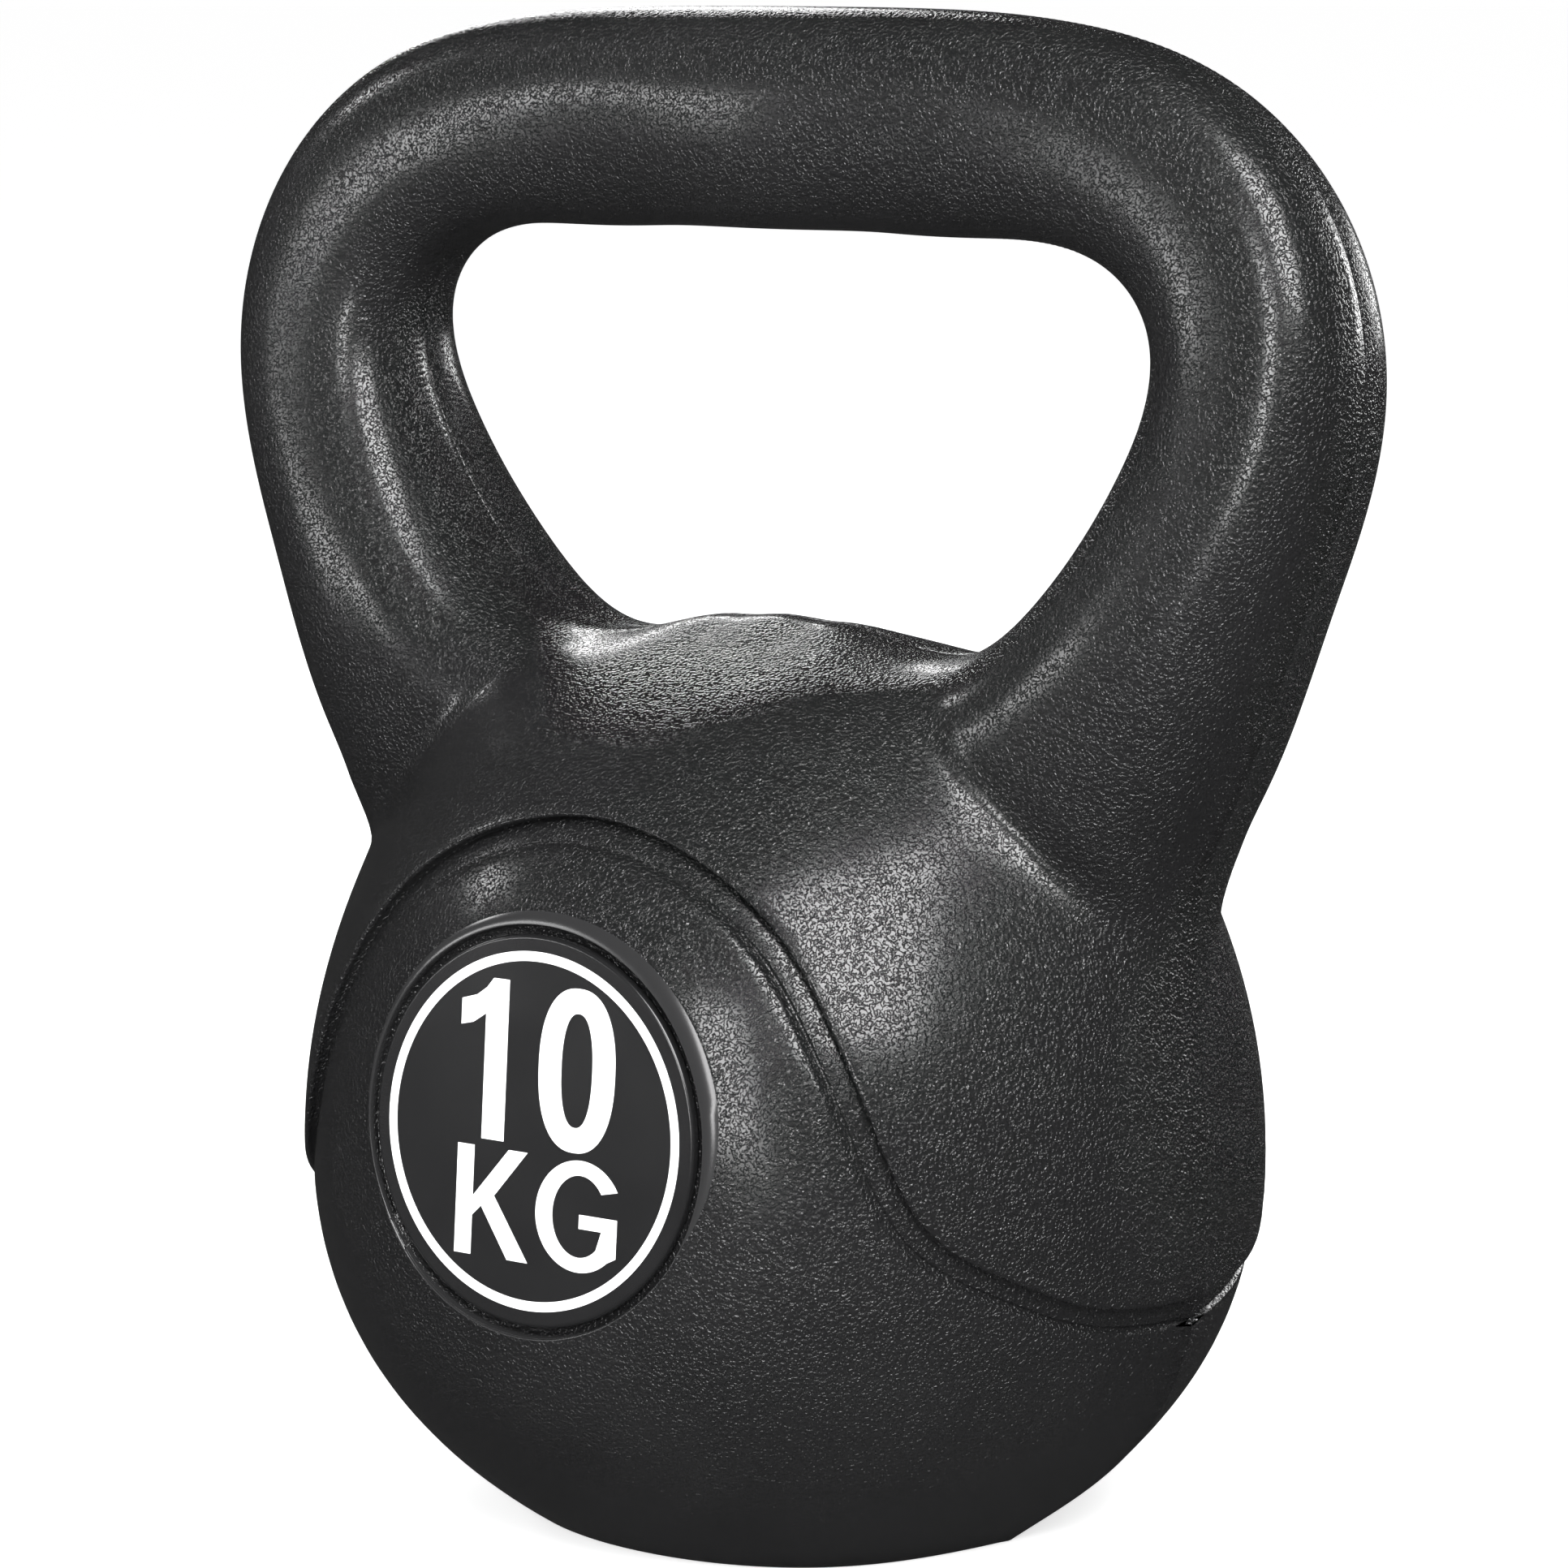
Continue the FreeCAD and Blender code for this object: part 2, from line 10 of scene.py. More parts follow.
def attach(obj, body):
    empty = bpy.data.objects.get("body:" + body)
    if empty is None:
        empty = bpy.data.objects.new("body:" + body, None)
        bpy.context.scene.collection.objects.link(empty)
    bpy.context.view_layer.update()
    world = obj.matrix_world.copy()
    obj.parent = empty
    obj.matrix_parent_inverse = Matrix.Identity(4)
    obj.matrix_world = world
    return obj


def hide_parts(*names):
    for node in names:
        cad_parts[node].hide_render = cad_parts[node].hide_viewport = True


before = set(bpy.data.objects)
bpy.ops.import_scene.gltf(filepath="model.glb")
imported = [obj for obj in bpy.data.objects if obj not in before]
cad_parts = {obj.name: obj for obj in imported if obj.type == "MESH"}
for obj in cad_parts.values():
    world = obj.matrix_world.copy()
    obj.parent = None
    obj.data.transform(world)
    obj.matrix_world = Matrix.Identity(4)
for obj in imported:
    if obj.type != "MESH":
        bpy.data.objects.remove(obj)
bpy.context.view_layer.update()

# sizes are millimetres in the CAD frame; meshes are made in metres at the end
body = {
    "totalHeight": 290.0,
    "handleHalfWidth": 125.6,
    "openingHalfWidth": 85.8,
    "gripThickness": 41.7,
    "gripHalfDepth": 18.0,
    "cornerHalfDepth": 15.0,
    "armHalfDepth": 18.3,
    "armRootHalfDepth": 27.4,
    "neckHalfDepth": 19.0,
    "neckBlend": 7.5,
    "keelStart": 0.7,
    "keelRun": 0.1,
    "keelSharpness": 40,
    "valleyHeight": 170.0,
    "valleyHalfWidth": 41.5,
    "saddleHeight": 174.7,
    "waistHeight": 119.0,
    "waistHalfWidth": 92.5,
    "bellyHeight": 83.0,
    "bellyHalfWidth": 95.2,
    "baseHalfWidth": 56.0,
    "ballHeight": 70.7,
    "ballHalfDepth": 89.1,
    "ballHalfWidth": 106.8,
    "ballRise": 115.6,
    "ballDrop": 95.8,
    "around": 480,  # columns of the skin round the hand opening
    "across": 64,  # rows from the opening to the outside
    "wall": 3.6,
    "seamDepth": 0.3,  # fine nick where the two halves meet
    "seamHalfWidth": 0.25,
}

step = {
    "hoodRise": 1.8,
    "grooveDepth": 1.0,
    "grooveWidth": 5.2,
    "gutterDepth": 0.5,  # narrow line at the foot of each wall
    "peakHeight": 143.6,
    "middleHeight": 94.2,
    "middleHalfWidth": 63.0,
    "sideHeight": 53.2,
    "spacing": 1.3,  # distance between the points of a contour line
}

badge = {
    "height": 88.0,
    "lean": 4.5,
    "reach": 80.0,
    "radius": 36.0,
    "thickness": 1.8,
    "bed": 0.4,
    "gap": 1.8,
    "rimSink": 0.1,  # rim of the recess, below the badge face
    "collarSlope": 0.95,  # fall of the smooth collar outside the rim
    "collarWidest": 2.4,
    "padRadius": 62.0,
    "padDrop": 1.6,
    "padTilt": 1.3,
    "padCup": 1.0,
    "edgeRound": 0.7,
    "segments": 256,
    "floorRings": (20.0, 10.0),  # radii of the point rings on the recess floor
    "floorSegments": 48,
}
recessRadius = badge["radius"] + badge["gap"]
recessDepth = badge["thickness"] + badge["bed"]


def between(low, high, share):
    return low + (high - low) * share


# smooth curve through points, level at both ends
def splineThrough(xs, ys):
    xs = np.array(xs, float)
    ys = np.array(ys, float)
    count = len(xs)
    gaps = np.diff(xs)
    slopes = np.diff(ys) / gaps
    matrix = np.zeros((count, count))
    right = np.zeros(count)
    matrix[0, 0] = 1
    matrix[-1, -1] = 1
    for k in range(1, count - 1):
        matrix[k, k - 1] = gaps[k]
        matrix[k, k] = 2 * (gaps[k - 1] + gaps[k])
        matrix[k, k + 1] = gaps[k - 1]
        right[k] = 3 * (gaps[k] * slopes[k - 1] + gaps[k - 1] * slopes[k])
    rates = np.linalg.solve(matrix, right)

    def curve(at):
        at = np.asarray(at, float)
        k = np.clip(np.searchsorted(xs, at) - 1, 0, count - 2)
        width = xs[k + 1] - xs[k]
        u = (at - xs[k]) / width
        a = (1 + 2 * u) * (1 - u) ** 2
        b = u * (1 - u) ** 2
        c = u * u * (3 - 2 * u)
        d = u * u * (u - 1)
        return a * ys[k] + b * width * rates[k] + c * ys[k + 1] + d * width * rates[k + 1]

    return curve


openingTop = body["totalHeight"] - body["gripThickness"]
centreHeight = between(body["valleyHeight"], openingTop, 0.447)


def outerOutline():
    top = body["totalHeight"]
    half = body["handleHalfWidth"]
    waist = body["waistHalfWidth"]
    belly = body["bellyHalfWidth"]
    base = body["baseHalfWidth"]
    wide = top - 67.5
    low = body["waistHeight"]
    return [
        (0, top),
        (0.271 * half, top - 0.3),
        (0.510 * half, top - 2.7),
        (0.744 * half, top - 11.7),
        (0.927 * half, top - 33.0),
        (half, wide),
        (between(waist, half, 0.645), between(low, wide, 0.597)),
        (between(waist, half, 0.245), between(low, wide, 0.270)),
        (waist, low),
        (belly, body["bellyHeight"]),
        (between(base, belly, 0.945), 0.530 * body["bellyHeight"]),
        (between(base, belly, 0.590), 0.227 * body["bellyHeight"]),
        (base, 0),
        (0, -26.3),
    ]


def innerOutline():
    half = body["openingHalfWidth"]
    valley = body["valleyHalfWidth"]
    low = body["valleyHeight"]
    saddle = body["saddleHeight"]
    return [
        (0, openingTop),
        (0.291 * half, openingTop),
        (0.553 * half, between(low, openingTop, 0.995)),
        (0.855 * half, between(low, openingTop, 0.947)),
        (0.997 * half, between(low, openingTop, 0.761)),
        (0.944 * half, between(low, openingTop, 0.483)),
        (0.758 * half, between(low, openingTop, 0.176)),
        (valley, low),
        (0.50 * valley, between(low, saddle, 0.58)),
        (0.21 * valley, between(low, saddle, 0.86)),
        (0, saddle),
    ]


def radiusCurve(points):
    angles = [math.atan2(x, z - centreHeight) for x, z in points]
    angles[-1] = math.pi
    return splineThrough(angles, [math.hypot(x, z - centreHeight) for x, z in points])


outerRadius = radiusCurve(outerOutline())
innerRadius = radiusCurve(innerOutline())
depthNames = ("gripHalfDepth", "cornerHalfDepth", "armHalfDepth", "armRootHalfDepth", "neckHalfDepth")
handleDepth = splineThrough([0, 0.2, 0.42, 0.62, 1.0], [body[name] for name in depthNames])


# the face round the badge is eased towards the badge's plane
def padEase(x, z):
    up = z - badge["height"]
    away = np.clip((badge["padRadius"] - np.hypot(x, up)) / (badge["padRadius"] - recessRadius), 0, 1)
    high = up / recessRadius
    change = badge["padTilt"] * high + badge["padCup"] * high ** 2 - badge["padDrop"]
    return away * away * (3 - 2 * away) * change


# distance of the skin in front of the parting plane; level = how far below the hood's skin
def bodyDepth(x, z, turn, across, level):
    side = np.abs(2 * across - 1)
    section = np.maximum(1 - side ** 2.68, 0) ** (1 / 2.68)
    # below the waist the handle's rounding fades out, and the halves meet at a soft keel
    low = np.clip((turn - body["keelStart"]) / body["keelRun"], 0, 1)
    keel = low * low * (3 - 2 * low) * across ** 2
    handle = np.maximum(handleDepth(turn) - level, 0.5) * section * (1 - keel)
    lift = z - body["ballHeight"]
    full = np.where(lift > 0, body["ballRise"], body["ballDrop"])
    wide = np.abs(x) / (body["ballHalfWidth"] - level)
    high = np.abs(lift) / (full - level)
    reach = (wide ** 2.08 + high ** 2.08 + 1e-12) ** (1 / 2.08)
    ball = (body["ballHalfDepth"] - level) * (1 - reach ** 2.66)
    ball = ball * (1 - across ** body["keelSharpness"]) * (1 - (1 - across) ** 36)
    blend = body["neckBlend"] * handle / (handle + 6)
    return 0.5 * (handle + ball + np.sqrt((handle - ball) ** 2 + blend ** 2)) + padEase(x, z)


# angle from straight up, radius, and both outline radii, moved in by the level
def polar(x, z, level):
    angle = np.arctan2(np.abs(x), z - centreHeight)
    return angle, np.hypot(x, z - centreHeight), innerRadius(angle) + level, outerRadius(angle) - level


def outlinePoint(angle, level):
    radius = float(outerRadius(angle)) - level
    return radius * math.sin(angle), centreHeight + radius * math.cos(angle)


def liftToSkin(x, z, level, edgeDepth):
    angle, radius, inner, outer = polar(x, z, level)
    across = np.clip((radius - inner) / (outer - inner), 0, 1)
    depth = bodyDepth(x, z, angle / math.pi, across, level)
    return np.stack([x, -np.maximum(depth, edgeDepth), z], 1)


# spline over a run of points, continued before its start as a mirror image (1) or turned over (-1)
def mirroredSpline(run, values, sign):
    wholeRun = np.concatenate([-run[:0:-1], run])
    return splineThrough(wholeRun, np.concatenate([sign * values[:0:-1], values]))


# right half of the hood's arched edge
def hoodEdge():
    peak, middle, side = step["peakHeight"], step["middleHeight"], step["sideHeight"]
    width, edge = step["middleHalfWidth"], body["bellyHalfWidth"]
    half = [
        (0, peak),
        (0.286 * width, between(middle, peak, 0.941)),
        (0.524 * width, between(middle, peak, 0.802)),
        (0.698 * width, between(middle, peak, 0.628)),
        (0.825 * width, between(middle, peak, 0.425)),
        (0.921 * width, between(middle, peak, 0.215)),
        (width, middle),
        (between(width, edge, 0.155), between(side, middle, 0.690)),
        (between(width, edge, 0.342), between(side, middle, 0.430)),
        (between(width, edge, 0.621), between(side, middle, 0.224)),
        (edge, side),
        (1.3 * edge, side - 0.1 * (middle - side)),
    ]
    knots = np.array(half)
    run = np.concatenate([[0], np.cumsum(np.hypot(*np.diff(knots, axis=0).T))])
    curveX = mirroredSpline(run, knots[:, 0], -1)
    curveZ = mirroredSpline(run, knots[:, 1], 1)
    at = np.linspace(0, run[-1], int(run[-1] / 0.25))
    return np.stack([curveX(at), curveZ(at)], 1)


# contour lines beside the edge: shift towards the badge, and depth below the hood's skin
def contourTable():
    low = step["hoodRise"] + step["grooveDepth"]
    gutter = low + step["gutterDepth"]
    ball = step["hoodRise"]
    width = step["grooveWidth"]
    return [
        (-2.4, 0.0),
        (-1.2, 0.04),
        (-0.6, 0.2),
        (-0.25, 0.5),
        (-0.05, 0.9),
        (0.02, 1.3),
        (0.14, gutter - 0.1),
        (0.45, gutter),
        (0.75, low + 0.06),
        (1.15, low),
        (0.5 * width, low),
        (width - 1.3, low),
        (width - 0.95, low + 0.06),
        (width - 0.65, gutter),
        (width - 0.35, gutter - 0.1),
        (width - 0.2, ball + 0.3),
        (width - 0.05, ball + 0.1),
        (width + 0.45, ball + 0.02),
        (width + 1.5, ball),
    ]


def contourLine(edge, shift, level):
    along = np.gradient(edge, axis=0)
    along /= np.linalg.norm(along, axis=1)[:, None]
    x, z = (edge + np.stack([along[:, 1], -along[:, 0]], 1) * shift).T
    angle, radius, _, outer = polar(x, z, level)
    beyond = radius - outer
    stop = int(np.argmax(beyond > 0))
    share = beyond[stop - 1] / (beyond[stop - 1] - beyond[stop])
    endAngle = float(between(angle[stop - 1], angle[stop], share))
    first = int(np.argmax(x > 0))
    x, z = np.append(0, x[first:stop]), np.append(z[first], z[first:stop])
    run = np.concatenate([[0], np.cumsum(np.hypot(np.diff(x), np.diff(z)))])
    at = np.linspace(0, run[-1], max(8, int(run[-1] / step["spacing"])) + 1)
    right = np.stack([np.interp(at, run, x), np.interp(at, run, z)], 1)
    right[-1] = outlinePoint(endAngle, level)
    return np.concatenate([right[:0:-1] * [-1, 1], right]), endAngle


leanAngle = math.radians(badge["lean"])
badgeCentre = np.array([0, -badge["reach"], badge["height"]])
badgeRight = np.array([1.0, 0, 0])
badgeUp = np.array([0, math.sin(leanAngle), math.cos(leanAngle)])
badgeOut = np.array([0, -math.cos(leanAngle), math.sin(leanAngle)])


def onBadge(u, v, w):
    u, v, w = np.broadcast_arrays(u, v, w)
    return badgeCentre + u[..., None] * badgeRight + v[..., None] * badgeUp + w[..., None] * badgeOut


# height of the rounded body's skin over the badge plane, at places in that plane
def skinOverBadge(u, v):
    w = np.zeros_like(u)
    for _ in range(6):
        place = onBadge(u, v, w)
        w = w + place[:, 1] - liftToSkin(place[:, 0], place[:, 2], step["hoodRise"], 0)[:, 1]
    return w


# outer radius of the smooth collar for each direction from the badge's middle
def collarMouth(cosine, sine):
    rim = -badge["rimSink"]
    skin = skinOverBadge((recessRadius + 1) * cosine, (recessRadius + 1) * sine)
    width = np.clip((rim - skin) / badge["collarSlope"], 0.35, badge["collarWidest"])
    for _ in range(4):
        skin = skinOverBadge((recessRadius + width) * cosine, (recessRadius + width) * sine)
        width = np.clip(0.5 * width + 0.5 * (rim - skin) / badge["collarSlope"], 0.35, badge["collarWidest"])
    return recessRadius + width, skin


# rings of the recess from the skin over the smooth collar and the rim down to the floor
def recessRings():
    count = badge["segments"]
    turn = np.arange(count) * 2 * math.pi / count
    cosine, sine = np.cos(turn), np.sin(turn)
    mouth, skin = collarMouth(cosine, sine)
    lip = np.maximum(-badge["rimSink"], skin - 0.12)
    full = np.full(count, 1.0)
    rings = [(mouth + 1.4, None), (mouth + 0.5, None), (mouth + 0.06, None), (mouth - 0.06, skin - 0.01)]
    rings.append((recessRadius + 0.16 * full, lip - 0.04))
    rings.append((recessRadius + 0.05 * full, lip - 0.14))
    rings.append((recessRadius * full, lip - 0.4))
    rings.append((recessRadius * full - 0.06, 0.25 - recessDepth * full))
    rings.append((recessRadius * full - 0.28, -recessDepth * full))
    rings.append((badge["radius"] * full - 0.4, -recessDepth * full))
    rings.append((badge["radius"] * 0.8 * full, -recessDepth * full))
    made = []
    for radius, height in rings:
        if height is None:
            height = skinOverBadge(radius * cosine, radius * sine)
        made.append(onBadge(radius * cosine, radius * sine, height))
    return made


# straight line of points across the front at a height above the floor, and the angle of its ends
def baseLine(lift, level, count=111):
    angles = np.linspace(math.pi * 0.7, math.pi, 4000)
    heights = centreHeight + (outerRadius(angles) - level) * np.cos(angles)
    tip = float(np.interp(-lift, -heights, angles))
    x = np.linspace(-1, 1, count) * outlinePoint(tip, level)[0]
    return np.stack([x, np.full(count, float(lift))], 1), tip


# rounding of the base's rim: height above the floor, and how far the skin is drawn in there
baseRound = [(0.0, 0.55), (0.18, 0.2), (0.6, 0.0)]


# a pattern is flat points, their levels, the lines to keep, and places that aren't the formula's
def addPoints(pattern, points, level):
    start = len(pattern["places"])
    pattern["places"].extend([tuple(p) for p in points])
    pattern["levels"].extend(np.broadcast_to(level, (len(points),)).tolist())
    return list(range(start, start + len(points)))


def addLine(pattern, points, level, closed=False):
    ids = addPoints(pattern, points, level)
    pattern["edges"].extend(zip(ids, ids[1:] + ids[:1]) if closed else zip(ids[:-1], ids[1:]))
    return ids


def addPlaced(pattern, ring):
    ids = addPoints(pattern, ring[:, [0, 2]], step["hoodRise"])
    pattern["fixed"].update(zip(ids, ring))
    return ids


# an entry is the angle where a line meets the outline, its level, and its left and right end points
def addContours(pattern):
    edge = hoodEdge()
    lines = []
    entries = []
    for shift, level in contourTable():
        line, angle = contourLine(edge, shift, level)
        ids = addLine(pattern, line, level)
        lines.append(line)
        entries.append((angle, level, ids[0], ids[-1]))
    return lines, entries


def addBaseLines(pattern):
    rows = []
    entries = []
    for lift, drop in baseRound:
        points, tip = baseLine(lift, step["hoodRise"])
        ids = addLine(pattern, points, step["hoodRise"])
        rows.append(ids)
        entries.append((tip, step["hoodRise"], ids[0], ids[-1]))
    return rows, entries


# outer border from the right base tip over the top to the left one
def addBorder(pattern, entries, tipAngle):
    entries = sorted(entries)
    entryAngles = [entry[0] for entry in entries]
    entryLevels = [entry[1] for entry in entries]
    border = [(entry[0], entry) for entry in entries]
    for k in range(body["around"] // 2 + 1):
        angle = 2 * math.pi * k / body["around"]
        reach = float(outerRadius(angle))
        if angle < tipAngle and all(abs(angle - other) * reach > 0.5 for other in entryAngles):
            border.append((angle, None))
    rightIds = []
    leftIds = []
    for angle, entry in sorted(border, key=lambda item: item[0]):
        if entry:
            rightIds.append(entry[3])
            leftIds.append(entry[2])
            continue
        level = float(np.interp(angle, entryAngles, entryLevels, left=0.0))
        x, z = outlinePoint(angle, level)
        rightIds.extend(addPoints(pattern, [(x, z)], level))
        if angle > 0:
            leftIds.extend(addPoints(pattern, [(-x, z)], level))
    loop = rightIds[::-1] + leftIds
    pattern["edges"].extend(zip(loop[:-1], loop[1:]))
    return loop


def addRecess(pattern):
    for ring in recessRings():
        ids = addPlaced(pattern, ring)
        pattern["edges"].extend(zip(ids, ids[1:] + ids[:1]))
    turn = np.arange(badge["floorSegments"]) * 2 * math.pi / badge["floorSegments"]
    for radius in badge["floorRings"]:
        addPlaced(pattern, onBadge(radius * np.cos(turn), radius * np.sin(turn), -recessDepth))
    middle = addPoints(pattern, [(0.0, badge["height"])], step["hoodRise"])[0]
    pattern["fixed"][middle] = onBadge(np.array([0.0]), np.array([0.0]), -recessDepth)[0]


# where points of the regular field are left out
fieldGaps = {
    "line": 0.8,  # least distance from any line
    "rimShare": 0.45,  # and less than that near the rims
    "rimLeast": 0.02,
    "linesEnd": 40.0,  # above the waist; no line lies higher
    "hoodMargin": 0.2,
    "recessMargin": 2.2,
    "baseTurn": 2.4,
    "baseHeight": 0.9,
    "baseHalfWidth": 75.0,
}


# regular field of points, left out near every line and inside the recess
def addField(pattern, hoodLine, ballLine, angles, inner, outer):
    tree = KDTree(len(pattern["places"]))
    for k, point in enumerate(pattern["places"]):
        tree.insert((point[0], point[1], 0), k)
    tree.balance()
    rise = step["hoodRise"]
    shares = 0.5 * (1 - np.cos(math.pi * np.arange(1, body["across"]) / body["across"]))
    outside = recessRadius + badge["collarWidest"] + fieldGaps["recessMargin"]
    margin = fieldGaps["hoodMargin"]
    field = []
    fieldLevels = []

    def place(k, share, level):
        radius = between(inner[k] + level, outer[k] - level, share)
        return radius * math.sin(angles[k]), centreHeight + radius * math.cos(angles[k])

    for k in range(len(angles)):
        for share in shares:
            level = 0.0
            x, z = place(k, share, level)
            if z < body["waistHeight"] + fieldGaps["linesEnd"]:
                if z < np.interp(x, hoodLine[:, 0], hoodLine[:, 1]) + margin:
                    level = rise
                    x, z = place(k, share, level)
                    if z > np.interp(x, ballLine[:, 0], ballLine[:, 1]) - margin:
                        continue
                if math.hypot(x, (z - badge["height"]) / math.cos(leanAngle)) < outside:
                    continue
                below = abs(math.pi - angles[k]) < math.pi - fieldGaps["baseTurn"]
                if below and z < fieldGaps["baseHeight"] and abs(x) < fieldGaps["baseHalfWidth"]:
                    continue
                rim = fieldGaps["rimShare"] * (outer[k] - inner[k]) * share * (1 - share)
                if tree.find((x, z, 0))[2] < min(fieldGaps["line"], rim + fieldGaps["rimLeast"]):
                    continue
            field.append((x, z))
            fieldLevels.append(level)
    addPoints(pattern, field, fieldLevels)


def buildSkin():
    pattern = {"places": [], "levels": [], "edges": [], "fixed": {}}
    lines, ends = addContours(pattern)
    baseRows, baseTips = addBaseLines(pattern)
    outerLoop = addBorder(pattern, ends + baseTips, baseTips[0][0])
    angles = np.arange(body["around"]) * 2 * math.pi / body["around"]
    folded = np.minimum(angles, 2 * math.pi - angles)
    inner, outer = innerRadius(folded), outerRadius(folded)
    opening = np.stack([inner * np.sin(angles), centreHeight + inner * np.cos(angles)], 1)
    innerLoop = addLine(pattern, opening, 0.0, closed=True)
    addRecess(pattern)
    addField(pattern, lines[0], lines[-1], angles, inner, outer)
    print("pattern points", len(pattern["places"]))

    seam = -body["seamHalfWidth"]
    outerPath = outerLoop + baseRows[0][1:-1]
    real, triangles, indexOf = triangulate(pattern, outerPath, innerLoop, body["seamHalfWidth"])
    for s, place in pattern["fixed"].items():
        real[indexOf[s]] = place
    for (lift, drop), ids in zip(baseRound, baseRows):
        for s in ids:
            k = indexOf[s]
            real[k][1] = min(real[k][1] + drop, seam)
    outerIds = [indexOf[s] for s in outerLoop]
    innerIds = [indexOf[s] for s in innerLoop]
    for k in outerIds + innerIds:
        real[k][1] = seam
    return real, triangles, outerIds, innerIds, [indexOf[s] for s in baseRows[0]]


def insideLoop(points, loop):
    inside = np.zeros(len(points), bool)
    x, z = points[:, 0], points[:, 1]
    for k in range(len(loop)):
        ax, az = loop[k]
        bx, bz = loop[(k + 1) % len(loop)]
        if az == bz:
            continue
        crosses = (az > z) != (bz > z)
        at = (bx - ax) * (z - az) / (bz - az) + ax
        inside ^= crosses & (x < at)
    return inside


# flat triangles that keep the given lines, and the given points behind each of their corners
def flatTriangles(points, edges):
    made = delaunay_2d_cdt([Vector(p) for p in points], edges, [], 0, 1e-7, True)
    return np.array([v[:] for v in made[0]]), np.array(made[2]), made[3]


# triangles of a pattern between its outer path and its opening, lifted onto the skin
def triangulate(pattern, outerPath, innerLoop, edgeDepth):
    place, triangles, origins = flatTriangles(pattern["places"], pattern["edges"])
    level = np.array([pattern["levels"][ids[0]] if ids else step["hoodRise"] for ids in origins])
    real = liftToSkin(place[:, 0], place[:, 1], level, edgeDepth)
    print("pattern lines that cross", sum(not ids for ids in origins))
    indexOf = {}
    for k, ids in enumerate(origins):
        for s in ids:
            indexOf[s] = k
    centres = place[triangles].mean(1)
    outer = place[[indexOf[s] for s in outerPath]]
    inner = place[[indexOf[s] for s in innerLoop]]
    return real, triangles[insideLoop(centres, outer) & ~insideLoop(centres, inner)], indexOf


plug = {
    "flangeRadius": 17.0,
    "flangeThickness": 1.8,
    "stemRadius": 12.0,
    "boreRadius": 9.0,
    "gap": 0.15,
    "segments": 96,
}


def buildHollow():
    level = step["hoodRise"] + body["wall"]
    floor = body["wall"]
    columns = 144
    rows = 26
    pattern = {"places": [], "levels": [], "edges": []}
    points, tip = baseLine(floor, level, 41)
    baseIds = addLine(pattern, points, level)
    rightIds = [baseIds[-1]]
    leftIds = [baseIds[0]]
    angles = [2 * math.pi * k / columns for k in range(columns // 2 + 1)]
    for angle in reversed([a for a in angles if a < tip - 0.02]):
        x, z = outlinePoint(angle, level)
        rightIds += addPoints(pattern, [(x, z)], level)
        if angle > 0:
            leftIds += addPoints(pattern, [(-x, z)], level)
    outerLoop = rightIds + leftIds[::-1]
    pattern["edges"] += list(zip(outerLoop[:-1], outerLoop[1:]))
    turn = np.arange(columns) * 2 * math.pi / columns
    folded = np.minimum(turn, 2 * math.pi - turn)
    inner = innerRadius(folded) + level
    outer = outerRadius(folded) - level
    opening = np.stack([inner * np.sin(turn), centreHeight + inner * np.cos(turn)], 1)
    innerLoop = addLine(pattern, opening, level, closed=True)
    for k in range(columns):
        for j in range(1, rows):
            radius = between(inner[k], outer[k], 0.5 * (1 - math.cos(math.pi * j / rows)))
            x, z = radius * math.sin(turn[k]), centreHeight + radius * math.cos(turn[k])
            if z > floor + 1.5 or abs(x) > 75:
                addPoints(pattern, [(x, z)], level)
    real, triangles, indexOf = triangulate(pattern, outerLoop + baseIds[1:-1], innerLoop, 0.0)
    outerIds = [indexOf[s] for s in outerLoop]
    innerIds = [indexOf[s] for s in innerLoop]
    for k in outerIds + innerIds:
        real[k][1] = 0
    # the skin stays clear of the recess: a flat boss behind the badge
    up = real[:, 2] - badge["height"]
    away = np.hypot(real[:, 0], up / math.cos(leanAngle))
    plane = badgeCentre[1] + (math.sin(leanAngle) * up + recessDepth + floor) / math.cos(leanAngle)
    share = np.clip((recessRadius + floor + 3 - away) / 3, 0, 1)
    real[:, 1] += share * (np.maximum(plane, real[:, 1]) - real[:, 1])
    return real, triangles, outerIds, innerIds, [indexOf[s] for s in baseIds]


# triangles of a flat region: outline and hole are lists of 3D points, axes are its plane's coordinates
def flatRegion(outline, hole, axes):
    points = list(outline) + list(hole)
    flat = [(p[axes[0]], p[axes[1]]) for p in points]
    count = len(outline)
    edges = [(k, (k + 1) % count) for k in range(count)]
    edges += [(count + k, count + (k + 1) % len(hole)) for k in range(len(hole))]
    place, triangles, origins = flatTriangles(flat, edges)
    centres = place[triangles].mean(1)
    keep = insideLoop(centres, flat[:count])
    if hole:
        keep &= ~insideLoop(centres, flat[count:])
    return np.array([points[ids[0]] for ids in origins]), triangles[keep]


# band of triangles between two lines of equally many points
def strip(lineA, lineB, closed=False):
    count = len(lineA)
    points = np.array(list(lineA) + list(lineB))
    faces = []
    for k in range(count if closed else count - 1):
        n = (k + 1) % count
        faces += [(k, n, count + n), (k, count + n, count + k)]
    return points, np.array(faces)


# half circle round the fill hole, with both ends in the parting plane
def arc(radius, height):
    turn = np.linspace(0, math.pi, plug["segments"] // 2 + 1)
    points = np.stack([radius * np.cos(turn), -radius * np.sin(turn), np.full_like(turn, height)], 1)
    points[0][1] = points[-1][1] = 0
    return points


